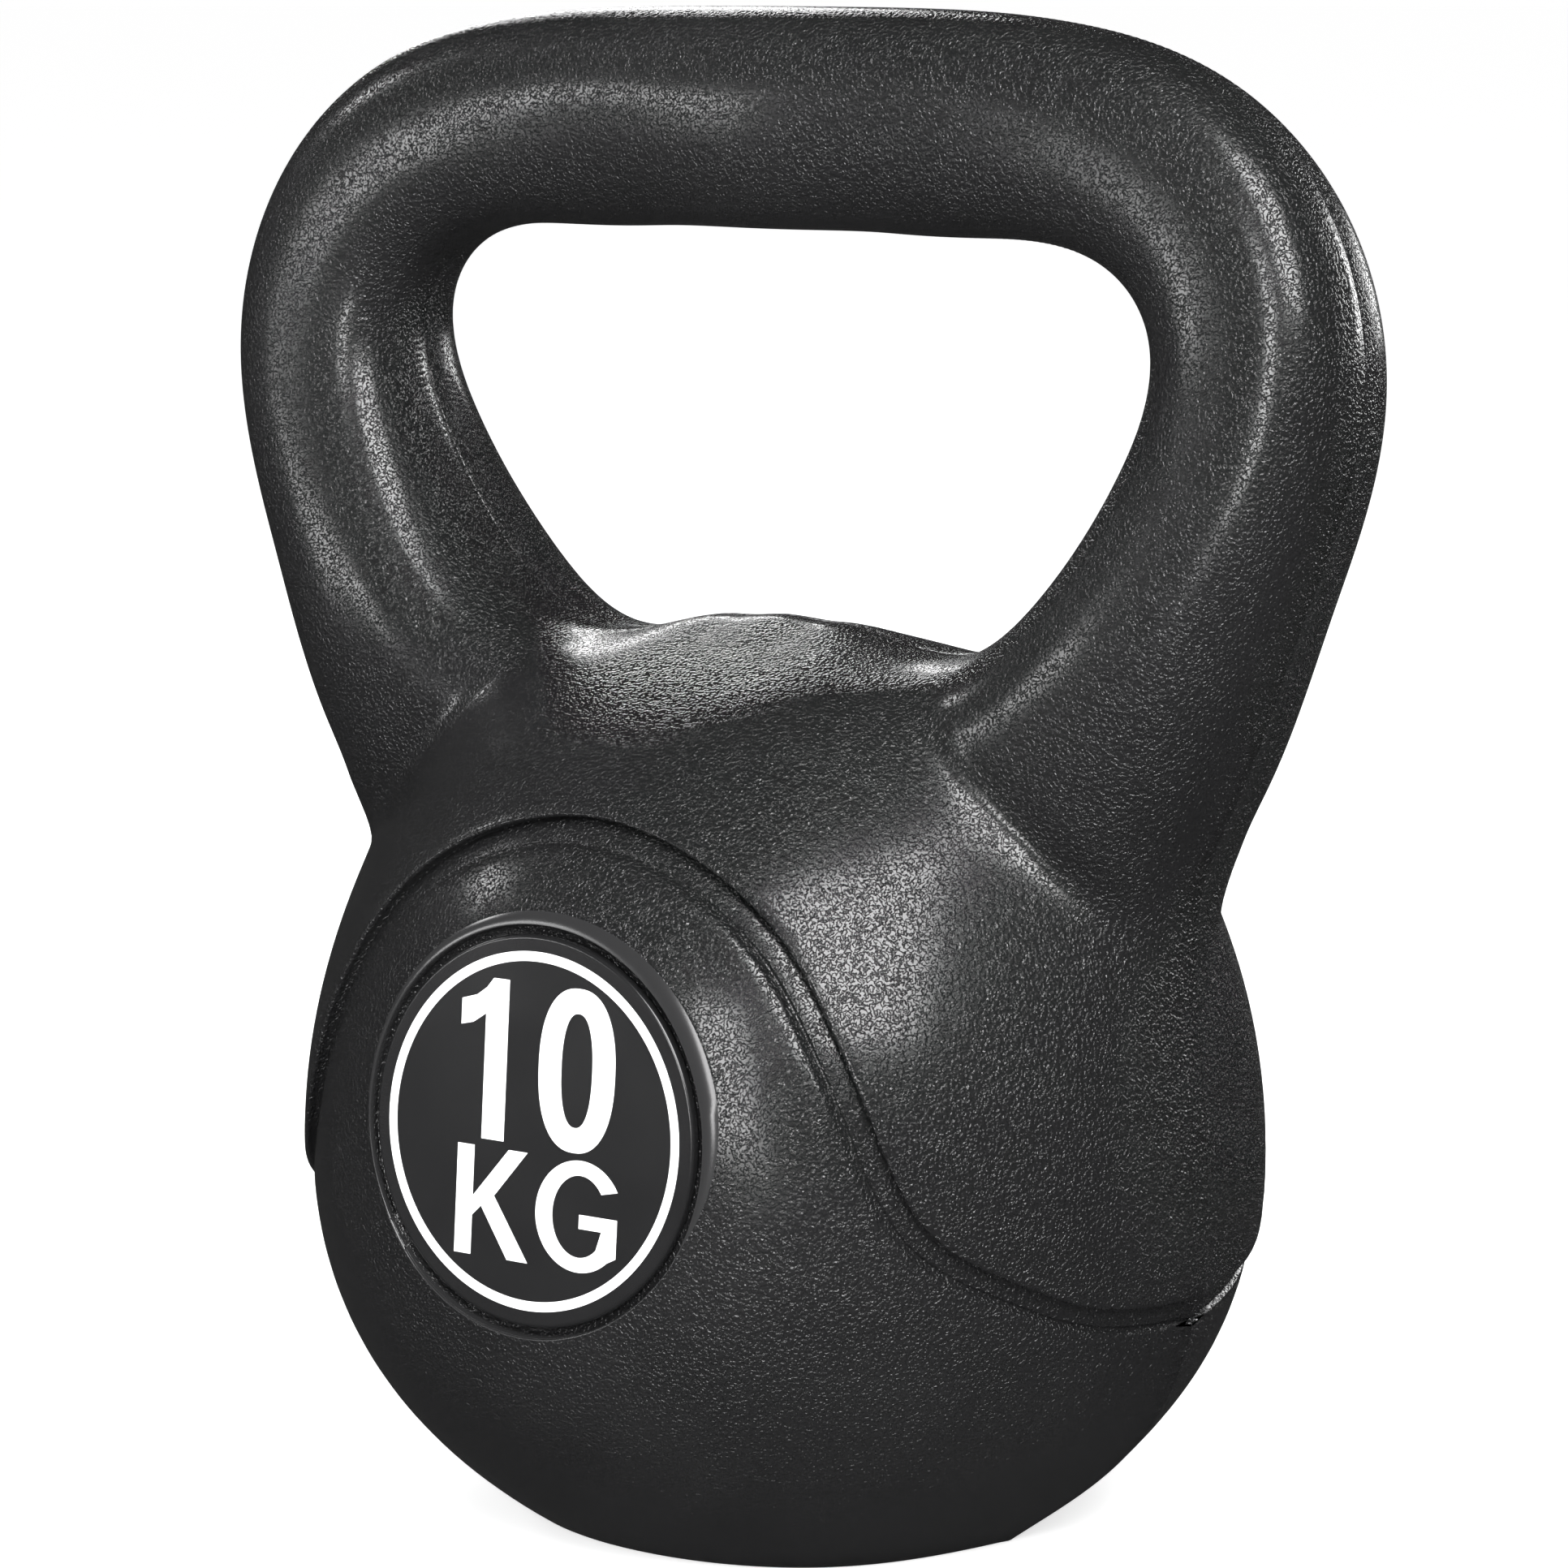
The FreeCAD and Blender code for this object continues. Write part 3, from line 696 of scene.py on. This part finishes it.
# all sheets of the closed half in front of the parting plane: skin, hollow, seam, base and fill hole
def halfShell():
    skin, skinFaces, outerIds, innerIds, baseFront = buildSkin()
    hollow, hollowFaces, hollowOuter, hollowInner, hollowBase = buildHollow()
    sheets = [(skin, skinFaces), (hollow, hollowFaces)]
    centre = np.array([0, 0, centreHeight])

    def seamLine(ids, inward):
        line = skin[ids].copy()
        line[:, 1] = 0
        ray = line - centre
        ray /= np.linalg.norm(ray, axis=1)[:, None]
        return line - ray * inward

    outerSeam = seamLine(outerIds, body["seamDepth"])
    outerSeam[0][2] = outerSeam[-1][2] = 0
    innerSeam = seamLine(innerIds, -body["seamDepth"])
    sheets.append(strip(skin[outerIds], outerSeam))
    sheets.append(strip(skin[innerIds], innerSeam, closed=True))
    pocket = plug["flangeRadius"] + plug["gap"]
    bore = plug["stemRadius"] + plug["gap"]
    ledge = plug["flangeThickness"]
    floor = body["wall"]
    leftHole = [(-pocket, 0, 0), (-pocket, 0, ledge), (-bore, 0, ledge), (-bore, 0, floor)]
    rightHole = [(-x, y, z) for x, y, z in leftHole[::-1]]
    outline = [*outerSeam, *leftHole, *hollow[hollowOuter[::-1]], *rightHole]
    sheets.append(flatRegion(outline, [], (0, 2)))
    sheets.append(flatRegion(list(hollow[hollowInner]), list(innerSeam), (0, 2)))
    wide, narrow = arc(pocket, 0), arc(bore, ledge)
    sheets.append(flatRegion([*skin[baseFront], outerSeam[0], *wide, outerSeam[-1]], [], (0, 1)))
    sheets.append(strip(wide, arc(pocket, ledge)))
    sheets.append(strip(arc(pocket, ledge), narrow))
    sheets.append(strip(narrow, arc(bore, floor)))
    sheets.append(flatRegion([*hollow[hollowBase], *arc(bore, floor)], [], (0, 1)))
    return sheets


def meshFrom(name, sheets, turnMatrix=None, weld=2e-3):
    mesh = bpy.data.meshes.new(name)
    points = np.concatenate([s[0] for s in sheets])
    faces = []
    start = 0
    for sheetPoints, sheetFaces in sheets:
        faces += [tuple(int(i) + start for i in f) for f in sheetFaces]
        start += len(sheetPoints)
    mesh.from_pydata([tuple(p) for p in points], [], faces)
    work = bmesh.new()
    work.from_mesh(mesh)
    bmesh.ops.remove_doubles(work, verts=work.verts, dist=weld)
    bmesh.ops.dissolve_degenerate(work, edges=work.edges, dist=1e-4)
    bmesh.ops.recalc_face_normals(work, faces=work.faces)
    print(name, "faces", len(work.faces), "open edges", sum(not e.is_manifold for e in work.edges))
    bmesh.ops.scale(work, vec=(0.001, 0.001, 0.001), verts=work.verts)
    if turnMatrix is not None:
        bmesh.ops.transform(work, matrix=turnMatrix, verts=work.verts)
    work.to_mesh(mesh)
    work.free()
    for polygon in mesh.polygons:
        polygon.use_smooth = True
    return mesh


def addObject(name, mesh, material=None):
    piece = bpy.data.objects.new(name, mesh)
    bpy.context.scene.collection.objects.link(piece)
    if material:
        mesh.materials.clear()
        mesh.materials.append(material)
    return piece


halfTurn = Matrix.Rotation(math.pi, 4, "Z")


# share of moulded grain at each vertex: none on the collar and the wall of the recess, which also get a
# lighter colour as a painted highlight
def markGrain(mesh, side):
    places = np.array([vertex.co[:] for vertex in mesh.vertices]) * 1000 * [side, side, 1]
    away = places - badgeCentre
    u, v, w = away @ badgeRight, away @ badgeUp, away @ badgeOut
    radius = np.maximum(np.hypot(u, v), 1e-6)
    mouth = collarMouth(u / radius, v / radius)[0]
    smooth = (radius > recessRadius - 0.03) & (radius < mouth - 0.03) & (w > -6)
    attribute = mesh.attributes.new("grainShare", "FLOAT", "POINT")
    attribute.data.foreach_set("value", np.where(smooth, 0.0, 1.0).astype(np.float32))


def newMaterial(name, colour, roughness, specular=0.5):
    material = bpy.data.materials.new(name)
    material.use_nodes = True
    nodes = material.node_tree.nodes
    shader = nodes["Principled BSDF"]
    shader.inputs["Base Color"].default_value = (*colour, 1)
    shader.inputs["Roughness"].default_value = roughness
    shader.inputs["Specular IOR Level"].default_value = specular
    coords = nodes.new("ShaderNodeTexCoord")
    return material, shader, coords.outputs["Object"]


def noiseNode(material, vector, scale, detail=2.0, rough=0.5, distortion=0.0):
    node = material.node_tree.nodes.new("ShaderNodeTexNoise")
    node.inputs["Scale"].default_value = scale
    node.inputs["Detail"].default_value = detail
    node.inputs["Roughness"].default_value = rough
    node.inputs["Distortion"].default_value = distortion
    material.node_tree.links.new(vector, node.inputs["Vector"])
    return node.outputs["Fac"]


def rangeNode(material, value, fromLow, fromHigh, toLow, toHigh):
    node = material.node_tree.nodes.new("ShaderNodeMapRange")
    node.interpolation_type = "SMOOTHSTEP"
    numbers = {"From Min": fromLow, "From Max": fromHigh, "To Min": toLow, "To Max": toHigh}
    for socket, number in numbers.items():
        node.inputs[socket].default_value = number
    material.node_tree.links.new(value, node.inputs["Value"])
    return node.outputs["Result"]


def mixColour(material, share, first, second):
    node = material.node_tree.nodes.new("ShaderNodeMix")
    node.data_type = "RGBA"
    node.inputs["A"].default_value = (*first, 1)
    node.inputs["B"].default_value = (*second, 1)
    material.node_tree.links.new(share, node.inputs["Factor"])
    return node.outputs["Result"]


def bumpNode(material, height, distance, strength=1.0, under=None):
    node = material.node_tree.nodes.new("ShaderNodeBump")
    node.inputs["Distance"].default_value = distance
    node.inputs["Strength"].default_value = strength
    material.node_tree.links.new(height, node.inputs["Height"])
    if under:
        material.node_tree.links.new(under, node.inputs["Normal"])
    return node.outputs["Normal"]


grain = {
    "colour": (0.008, 0.008, 0.0083),
    "colourWorn": (0.0105, 0.0105, 0.0108),
    # painted highlight: lighter colour for the smooth collar and the recess wall, standing in for the light
    # these faces catch
    "colourSmoothPaintedHighlight": (0.02, 0.02, 0.0205),
    "roughnessLow": 0.18,
    "roughnessHigh": 0.22,
    "pebbleScale": 1500.0,
    "pebbleHeight": 0.00017,
    "waveScale": 38.0,
    "waveHeight": 0.00006,
}


def shellMaterial():
    material, shader, place = newMaterial("mouldedShellPlastic", grain["colour"], 0.4)
    link = material.node_tree.links.new
    pebbles = noiseNode(material, place, grain["pebbleScale"], 1.0, 0.5, 0.3)
    height = rangeNode(material, pebbles, 0.4, 0.6, 0.0, 1.0)
    slow = noiseNode(material, place, grain["waveScale"], 2.0)
    gentle = bumpNode(material, slow, grain["waveHeight"], 0.35)
    share = material.node_tree.nodes.new("ShaderNodeAttribute")
    share.attribute_name = "grainShare"
    pebbled = bumpNode(material, height, grain["pebbleHeight"], 1.0, gentle)
    link(share.outputs["Fac"], pebbled.node.inputs["Strength"])
    link(pebbled, shader.inputs["Normal"])
    patch = noiseNode(material, place, 14.0, 3.0)
    rough = rangeNode(material, patch, 0.3, 0.7, grain["roughnessLow"], grain["roughnessHigh"])
    link(rough, shader.inputs["Roughness"])
    wear = rangeNode(material, patch, 0.4, 0.75, 0.0, 1.0)
    worn = mixColour(material, wear, grain["colour"], grain["colourWorn"])
    # painted highlight on the smooth collar and recess wall; the randomly worn tone goes on the grained skin
    wornAndPaintedCollarTone = mixColour(material, share.outputs["Fac"], grain["colourSmoothPaintedHighlight"], grain["colour"])
    link(worn, wornAndPaintedCollarTone.node.inputs["B"])
    link(wornAndPaintedCollarTone, shader.inputs["Base Color"])
    return material


def satinMaterial(name, colour, roughness):
    material, shader, place = newMaterial(name, colour, roughness)
    link = material.node_tree.links.new
    fine = noiseNode(material, place, 2600.0, 1.0)
    link(bumpNode(material, fine, 0.000004, 0.5), shader.inputs["Normal"])
    patch = noiseNode(material, place, 60.0, 3.0)
    link(rangeNode(material, patch, 0.3, 0.7, roughness - 0.02, roughness + 0.03), shader.inputs["Roughness"])
    return material


def printMaterial():
    material, shader, place = newMaterial("whitePrint", (0.9, 0.9, 0.9), 0.42)
    link = material.node_tree.links.new
    speck = noiseNode(material, place, 900.0, 2.0)
    dust = rangeNode(material, speck, 0.35, 0.7, 0.0, 1.0)
    link(mixColour(material, dust, (0.93, 0.93, 0.93), (0.86, 0.86, 0.86)), shader.inputs["Base Color"])
    link(bumpNode(material, speck, 0.000008, 0.5), shader.inputs["Normal"])
    return material


def castMaterial(name, first, second, roughness, scale, height):
    material, shader, place = newMaterial(name, first, roughness)
    link = material.node_tree.links.new
    lumps = noiseNode(material, place, scale, 5.0, 0.65)
    blend = rangeNode(material, lumps, 0.35, 0.65, 0.0, 1.0)
    link(mixColour(material, blend, first, second), shader.inputs["Base Color"])
    link(bumpNode(material, lumps, height, 0.8), shader.inputs["Normal"])
    link(rangeNode(material, lumps, 0.3, 0.7, roughness - 0.08, roughness), shader.inputs["Roughness"])
    return material


shellPlastic = shellMaterial()
badgePlastic = satinMaterial("satinBadgePlastic", (0.009, 0.009, 0.0094), 0.24)
plugPlastic = satinMaterial("plugPlastic", (0.02, 0.02, 0.021), 0.42)
whitePrint = printMaterial()
foamTape = castMaterial("foamTape", (0.16, 0.16, 0.155), (0.24, 0.24, 0.23), 0.9, 1400.0, 0.00008)
castFilling = castMaterial("castFilling", (0.22, 0.21, 0.2), (0.34, 0.32, 0.3), 0.92, 320.0, 0.0006)
print("materials made")

sheets = halfShell()
halves = (("frontShellHalf", "front_shell", None, 1), ("backShellHalf", "back_shell", halfTurn, -1))
for name, node, turnMatrix, side in halves:
    piece = addObject(name, meshFrom(name, sheets, turnMatrix), shellPlastic)
    markGrain(piece.data, side)
    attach(piece, "root")
    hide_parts(node)
print("shell halves made")

# a tree that turns a profile (x = radius, z = height) round the vertical axis
def turnedTree():
    tree = bpy.data.node_groups.new("turnedProfile", "GeometryNodeTree")
    face = tree.interface
    face.new_socket("Profile", in_out="INPUT", socket_type="NodeSocketGeometry")
    face.new_socket("Segments", in_out="INPUT", socket_type="NodeSocketInt")
    face.new_socket("Material", in_out="INPUT", socket_type="NodeSocketMaterial")
    face.new_socket("Geometry", in_out="OUTPUT", socket_type="NodeSocketGeometry")
    nodes = tree.nodes
    link = tree.links.new

    def maths(operation, first, second=None):
        node = nodes.new("ShaderNodeMath")
        node.operation = operation
        for socket, value in zip(node.inputs, (first, second)):
            if value is None:
                continue
            if isinstance(value, (int, float)):
                socket.default_value = value
            else:
                link(value, socket)
        return node.outputs[0]

    given = nodes.new("NodeGroupInput").outputs
    counts = nodes.new("GeometryNodeAttributeDomainSize")
    link(given["Profile"], counts.inputs["Geometry"])
    rows = counts.outputs["Point Count"]
    grid = nodes.new("GeometryNodeMeshGrid")
    link(maths("ADD", given["Segments"], 1), grid.inputs["Vertices X"])
    link(rows, grid.inputs["Vertices Y"])
    index = nodes.new("GeometryNodeInputIndex").outputs[0]
    column = maths("FLOOR", maths("DIVIDE", maths("ADD", index, 0.5), rows))
    row = maths("SUBTRACT", index, maths("MULTIPLY", column, rows))
    sample = nodes.new("GeometryNodeSampleIndex")
    sample.data_type = "FLOAT_VECTOR"
    link(given["Profile"], sample.inputs["Geometry"])
    link(nodes.new("GeometryNodeInputPosition").outputs[0], sample.inputs["Value"])
    link(row, sample.inputs["Index"])
    apart = nodes.new("ShaderNodeSeparateXYZ")
    link(sample.outputs[0], apart.inputs[0])
    angle = maths("DIVIDE", maths("MULTIPLY", column, 2 * math.pi), given["Segments"])
    joined = nodes.new("ShaderNodeCombineXYZ")
    link(maths("MULTIPLY", apart.outputs["X"], maths("COSINE", angle)), joined.inputs["X"])
    link(maths("MULTIPLY", apart.outputs["X"], maths("SINE", angle)), joined.inputs["Y"])
    link(apart.outputs["Z"], joined.inputs["Z"])
    placed = nodes.new("GeometryNodeSetPosition")
    link(grid.outputs["Mesh"], placed.inputs["Geometry"])
    link(joined.outputs[0], placed.inputs["Position"])
    welded = nodes.new("GeometryNodeMergeByDistance")
    welded.inputs["Distance"].default_value = 1e-7
    link(placed.outputs[0], welded.inputs["Geometry"])
    real = nodes.new("GeometryNodeRealizeInstances")
    link(welded.outputs[0], real.inputs[0])
    coloured = nodes.new("GeometryNodeSetMaterial")
    link(real.outputs[0], coloured.inputs["Geometry"])
    link(given["Material"], coloured.inputs["Material"])
    result = nodes.new("NodeGroupOutput")
    link(coloured.outputs[0], result.inputs[0])
    return tree


turned = turnedTree()


def turnedPiece(name, profile, segments, material, place=None):
    guide = bpy.data.meshes.new(name + "Profile")
    points = [(x * 0.001, 0, z * 0.001) for x, z in profile]
    guide.from_pydata(points, [(k, k + 1) for k in range(len(points) - 1)], [])
    holder = addObject(name + "Guide", guide)
    modifier = holder.modifiers.new("turned", "NODES")
    modifier.node_group = turned
    sockets = {item.name: item.identifier for item in turned.interface.items_tree if item.in_out == "INPUT"}
    modifier[sockets["Segments"]] = segments
    modifier[sockets["Material"]] = material
    bpy.context.view_layer.update()
    mesh = bpy.data.meshes.new_from_object(holder.evaluated_get(bpy.context.evaluated_depsgraph_get()))
    bpy.data.objects.remove(holder)
    mesh.name = name
    work = bmesh.new()
    work.from_mesh(mesh)
    bmesh.ops.dissolve_degenerate(work, edges=work.edges, dist=1e-9)
    bmesh.ops.recalc_face_normals(work, faces=work.faces)
    loose = sum(not e.is_manifold for e in work.edges)
    print(name, "faces", len(work.faces), "open edges", loose)
    if place is not None:
        bmesh.ops.transform(work, matrix=place, verts=work.verts)
    work.to_mesh(mesh)
    work.free()
    for polygon in mesh.polygons:
        polygon.use_smooth = True
    return addObject(name, mesh)


# rounded corner of a profile between two directions given in degrees
def corner(x, z, radius, start, stop, steps=7):
    made = []
    for k in range(steps + 1):
        a = math.radians(between(start, stop, k / steps))
        made.append((x + radius * math.cos(a), z + radius * math.sin(a)))
    return made


def badgeProfile():
    radius, thick, soft = badge["radius"], badge["thickness"], badge["edgeRound"]
    flat = [(0, 0), (0.4 * radius, 0), (0.8 * radius, 0), (radius - soft - 0.08, 0)]
    low = corner(radius - 0.15, -thick + 0.15, 0.15, 0, -90, 3)
    return flat + corner(radius - soft, -soft, soft, 90, 0) + low + [(0.5 * radius, -thick), (0, -thick)]


prints = {
    "thickness": 0.12,
    "soft": 0.03,
    "ringRadius": 33.0,
    "ringWidth": 1.8,
    "figureFoot": -2.6,
    "figureHeight": 29.8,
    "unitFoot": -24.3,
    "unitHeight": 20.3,
    "stroke": 5.1,
    "unitStroke": 3.8,
}


def ringProfile():
    inner, outer = prints["ringRadius"] - prints["ringWidth"], prints["ringRadius"]
    top, soft = prints["thickness"], prints["soft"]
    profile = [(inner, 0)] + corner(inner + soft, top - soft, soft, 180, 90, 3)
    return profile + corner(outer - soft, top - soft, soft, 90, 0, 3) + [(outer, 0), (inner, 0)]


def plugProfile():
    flange, thick = plug["flangeRadius"], plug["flangeThickness"]
    stem, bore, top = plug["stemRadius"], plug["boreRadius"], body["wall"]
    dimple = [(0, 0.5), (4.0, 0.5), (4.4, 0.42), (4.6, 0.08), (4.9, 0.0)]
    groove = [(flange - 3.0, 0.0), (flange - 2.7, 0.22), (flange - 2.3, 0.22), (flange - 2.0, 0.0)]
    rim = corner(flange - 0.3, 0.3, 0.3, -90, 0, 4)
    shoulder = [(flange, thick - 0.05), (flange - 0.05, thick), (stem, thick)]
    end = [(stem, top - 0.3), (stem - 0.3, top), (bore, top), (bore, thick), (0, thick)]
    return dimple + groove + rim + shoulder + end


def badgeMatrix(side):
    columns = [badgeRight, badgeUp, badgeOut, badgeCentre * 0.001]
    matrix = Matrix([[columns[c][r] for c in range(4)] for r in range(3)] + [[0, 0, 0, 1]])
    return halfTurn @ matrix if side == "back" else matrix


def figureOne():
    foot, tall = prints["figureFoot"], prints["figureHeight"]
    left, right, top = -6.3 - prints["stroke"], -6.3, foot + tall
    flag = [(-9.9, 1.0), (-11.4, 0.938), (-13.6, 0.885), (-17.0, 0.852)]
    flag += [(-17.0, 0.690), (-14.3, 0.712), (left, 0.775)]
    return [[(right, foot), (right, top)] + [(x, foot + share * tall) for x, share in flag] + [(left, foot)]]


def ovalRing(middle, half, inner, power, steps=72):
    loops = []
    for wide, tall in (half, inner):
        loop = []
        for k in range(steps):
            a = 2 * math.pi * k / steps
            c, s = math.cos(a), math.sin(a)
            loop.append((middle[0] + wide * math.copysign(abs(c) ** (2 / power), c),
                         middle[1] + tall * math.copysign(abs(s) ** (2 / power), s)))
        loops.append(loop)
    return loops


def figureNought():
    foot, tall, stroke = prints["figureFoot"], prints["figureHeight"], prints["stroke"]
    half = (8.6, 0.5 * tall + 0.1)
    return ovalRing((9.65, foot + 0.5 * tall), half, (half[0] - stroke, half[1] - 0.9 * stroke), 2.35)


def letterK():
    foot, tall, stroke = prints["unitFoot"], prints["unitHeight"], prints["unitStroke"]
    top, left = foot + tall, -16.7
    right, middle = left + stroke, foot + 0.55 * tall
    upright = [(right, top), (left, top), (left, foot), (right, foot)]
    lowLeg = [(right, foot + 0.36 * tall), (right + 2.0, middle - 1.9), (-4.5, foot), (0.2, foot)]
    highLeg = [(-8.0, middle + 0.3), (-0.7, top), (-5.0, top), (right, middle - 0.3)]
    return [upright + lowLeg + highLeg]


def letterG():
    foot, tall, stroke = prints["unitFoot"], prints["unitHeight"], prints["unitStroke"]
    x, y = 11.5, foot + 0.5 * tall
    outer = (9.9, 0.5 * tall + 0.1)
    inner = (outer[0] - stroke, outer[1] - 0.72 * stroke)
    steps = 56

    def sweep(half, start, stop):
        turns = [math.radians(between(start, stop, k / steps)) for k in range(steps + 1)]
        return [(x + half[0] * math.cos(a), y + half[1] * math.sin(a)) for a in turns]

    bar = [(20.0, y - 0.66 * 0.5 * tall), (20.0, y + 0.4), (x, y + 0.4), (x, y - 2.2), (16.6, y - 2.2)]
    return [sweep(outer, 32, 311) + bar + sweep(inner, 311, 38)]


def printedMark(name, loops, side):
    curve = bpy.data.curves.new(name, "CURVE")
    curve.dimensions = "2D"
    curve.fill_mode = "BOTH"
    curve.extrude = 0.0005 * prints["thickness"] - 0.001 * prints["soft"]
    curve.bevel_depth = 0.001 * prints["soft"]
    curve.offset = -0.001 * prints["soft"]
    curve.bevel_resolution = 1
    for loop in loops:
        spline = curve.splines.new("POLY")
        spline.points.add(len(loop) - 1)
        for point, (u, v) in zip(spline.points, loop):
            point.co = (0.001 * u, 0.001 * v, 0, 1)
        spline.use_cyclic_u = True
    holder = addObject(name + "Curve", curve)
    bpy.context.view_layer.update()
    mesh = bpy.data.meshes.new_from_object(holder.evaluated_get(bpy.context.evaluated_depsgraph_get()))
    bpy.data.objects.remove(holder)
    mesh.transform(badgeMatrix(side) @ Matrix.Translation((0, 0, 0.0005 * prints["thickness"])))
    work = bmesh.new()
    work.from_mesh(mesh)
    bmesh.ops.remove_doubles(work, verts=work.verts, dist=1e-6)
    bmesh.ops.recalc_face_normals(work, faces=work.faces)
    print(name, "faces", len(work.faces), "open edges", sum(not e.is_manifold for e in work.edges))
    work.to_mesh(mesh)
    work.free()
    return addObject(name, mesh, whitePrint)


def finishPiece(piece, node):
    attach(piece, "root")
    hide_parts(node)


for side in ("front", "back"):
    place = badgeMatrix(side)
    disc = turnedPiece(side + "BadgeDisc", badgeProfile(), badge["segments"], badgePlastic, place)
    finishPiece(disc, side + "_badge")
    ring = turnedPiece(side + "PrintedRing", ringProfile(), badge["segments"], whitePrint, place)
    finishPiece(ring, side + "_ring")
    marks = (("FigureOne", figureOne, "figure_one"), ("FigureNought", figureNought, "figure_nought"),
             ("UnitLetterK", letterK, "unit_first"), ("UnitLetterG", letterG, "unit_second"))
    for name, outline, node in marks:
        finishPiece(printedMark(side + name, outline(), side), side + "_" + node)
finishPiece(turnedPiece("fillPlugCap", plugProfile(), plug["segments"], plugPlastic), "fill_plug")
print("badges, prints and plug made")

carried = {"ballast_core": castFilling, "front_adhesive": foamTape, "back_adhesive": foamTape}
for name, material in carried.items():
    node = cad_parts[name]
    for slot in node.material_slots:
        slot.material = material
    if not node.material_slots:
        node.data.materials.append(material)

studio = {
    "floorRadius": 30.0,
    "floorColour": (0.9, 0.9, 0.9),
    "floorGlow": 0.62,
    "worldSeen": 0.45,  # strength of the pale surroundings for soft light
    "worldGloss": 0.04,  # and for reflections
    "target": (0.0, 0.0, 0.15),
    # name: azimuth, elevation, distance, width, height, watts
    "lights": {
        "keySoftbox": (48, 41, 1.5, 0.75, 1.0, 38),
        "armStrip": (14, 14, 1.5, 0.3, 0.8, 12),
        "leftFill": (-40, 6, 1.6, 0.5, 0.18, 3.5),
        "leftStrip": (-74, 30, 1.6, 0.3, 0.2, 2.5),
        "backRim": (-137, 22, 1.5, 0.4, 0.3, 3),
        "backRight": (168, 10, 1.6, 0.5, 0.4, 5),
    },
}
view = {
    "azimuth": 34.57,
    "elevation": 9.27,
    "distance": 1.02665,
    "targetHeight": 0.13435,
    "focal": 3.39406,  # focal length over the sensor's width
    "shift": (0.0019, 0.0244),
}


def direction(azimuth, elevation):
    a, e = math.radians(azimuth), math.radians(elevation)
    return Vector((math.sin(a) * math.cos(e), -math.cos(a) * math.cos(e), math.sin(e)))


def aim(piece, towards):
    piece.rotation_euler = (-towards).to_track_quat("-Z", "Y").to_euler()


disc = bpy.data.meshes.new("paleFloor")
work = bmesh.new()
bmesh.ops.create_circle(work, cap_ends=True, segments=96, radius=studio["floorRadius"])
work.to_mesh(disc)
work.free()
floorPaint, floorShader, _ = newMaterial("paleFloorPaint", studio["floorColour"], 0.8, 0.2)
floorShader.inputs["Emission Color"].default_value = (1, 1, 1, 1)
floorShader.inputs["Emission Strength"].default_value = studio["floorGlow"]
floor = addObject("paleFloor", disc, floorPaint)
floor.visible_glossy = False

for name, (azimuth, elevation, distance, width, height, watts) in studio["lights"].items():
    lamp = bpy.data.lights.new(name, "AREA")
    lamp.shape = "RECTANGLE"
    lamp.size = width
    lamp.size_y = height
    lamp.energy = watts
    holder = bpy.data.objects.new(name, lamp)
    bpy.context.scene.collection.objects.link(holder)
    away = direction(azimuth, elevation)
    holder.location = Vector(studio["target"]) + away * distance
    aim(holder, away)

world = bpy.data.worlds.new("paleStudio")
bpy.context.scene.world = world
world.use_nodes = True
worldNodes = world.node_tree.nodes
background = worldNodes["Background"]
background.inputs["Color"].default_value = (1, 1, 1, 1)
rayKind = worldNodes.new("ShaderNodeLightPath")
strength = worldNodes.new("ShaderNodeMapRange")
strength.inputs["To Min"].default_value = studio["worldSeen"]
strength.inputs["To Max"].default_value = studio["worldGloss"]
world.node_tree.links.new(rayKind.outputs["Is Glossy Ray"], strength.inputs["Value"])
# the camera itself sees the surroundings as plain white
seen = worldNodes.new("ShaderNodeMapRange")
seen.inputs["To Max"].default_value = 1.0
world.node_tree.links.new(rayKind.outputs["Is Camera Ray"], seen.inputs["Value"])
world.node_tree.links.new(strength.outputs["Result"], seen.inputs["To Min"])
world.node_tree.links.new(seen.outputs["Result"], background.inputs["Strength"])

lens = bpy.data.cameras.new("viewCamera")
lens.sensor_width = 36.0
lens.lens = 36.0 * view["focal"]
lens.shift_x, lens.shift_y = view["shift"]
camera = bpy.data.objects.new("viewCamera", lens)
bpy.context.scene.collection.objects.link(camera)
away = direction(view["azimuth"], view["elevation"])
camera.location = Vector((0, 0, view["targetHeight"])) + away * view["distance"]
aim(camera, away)
bpy.context.scene.camera = camera
bpy.context.scene.view_settings.view_transform = "Standard"
print("studio made")
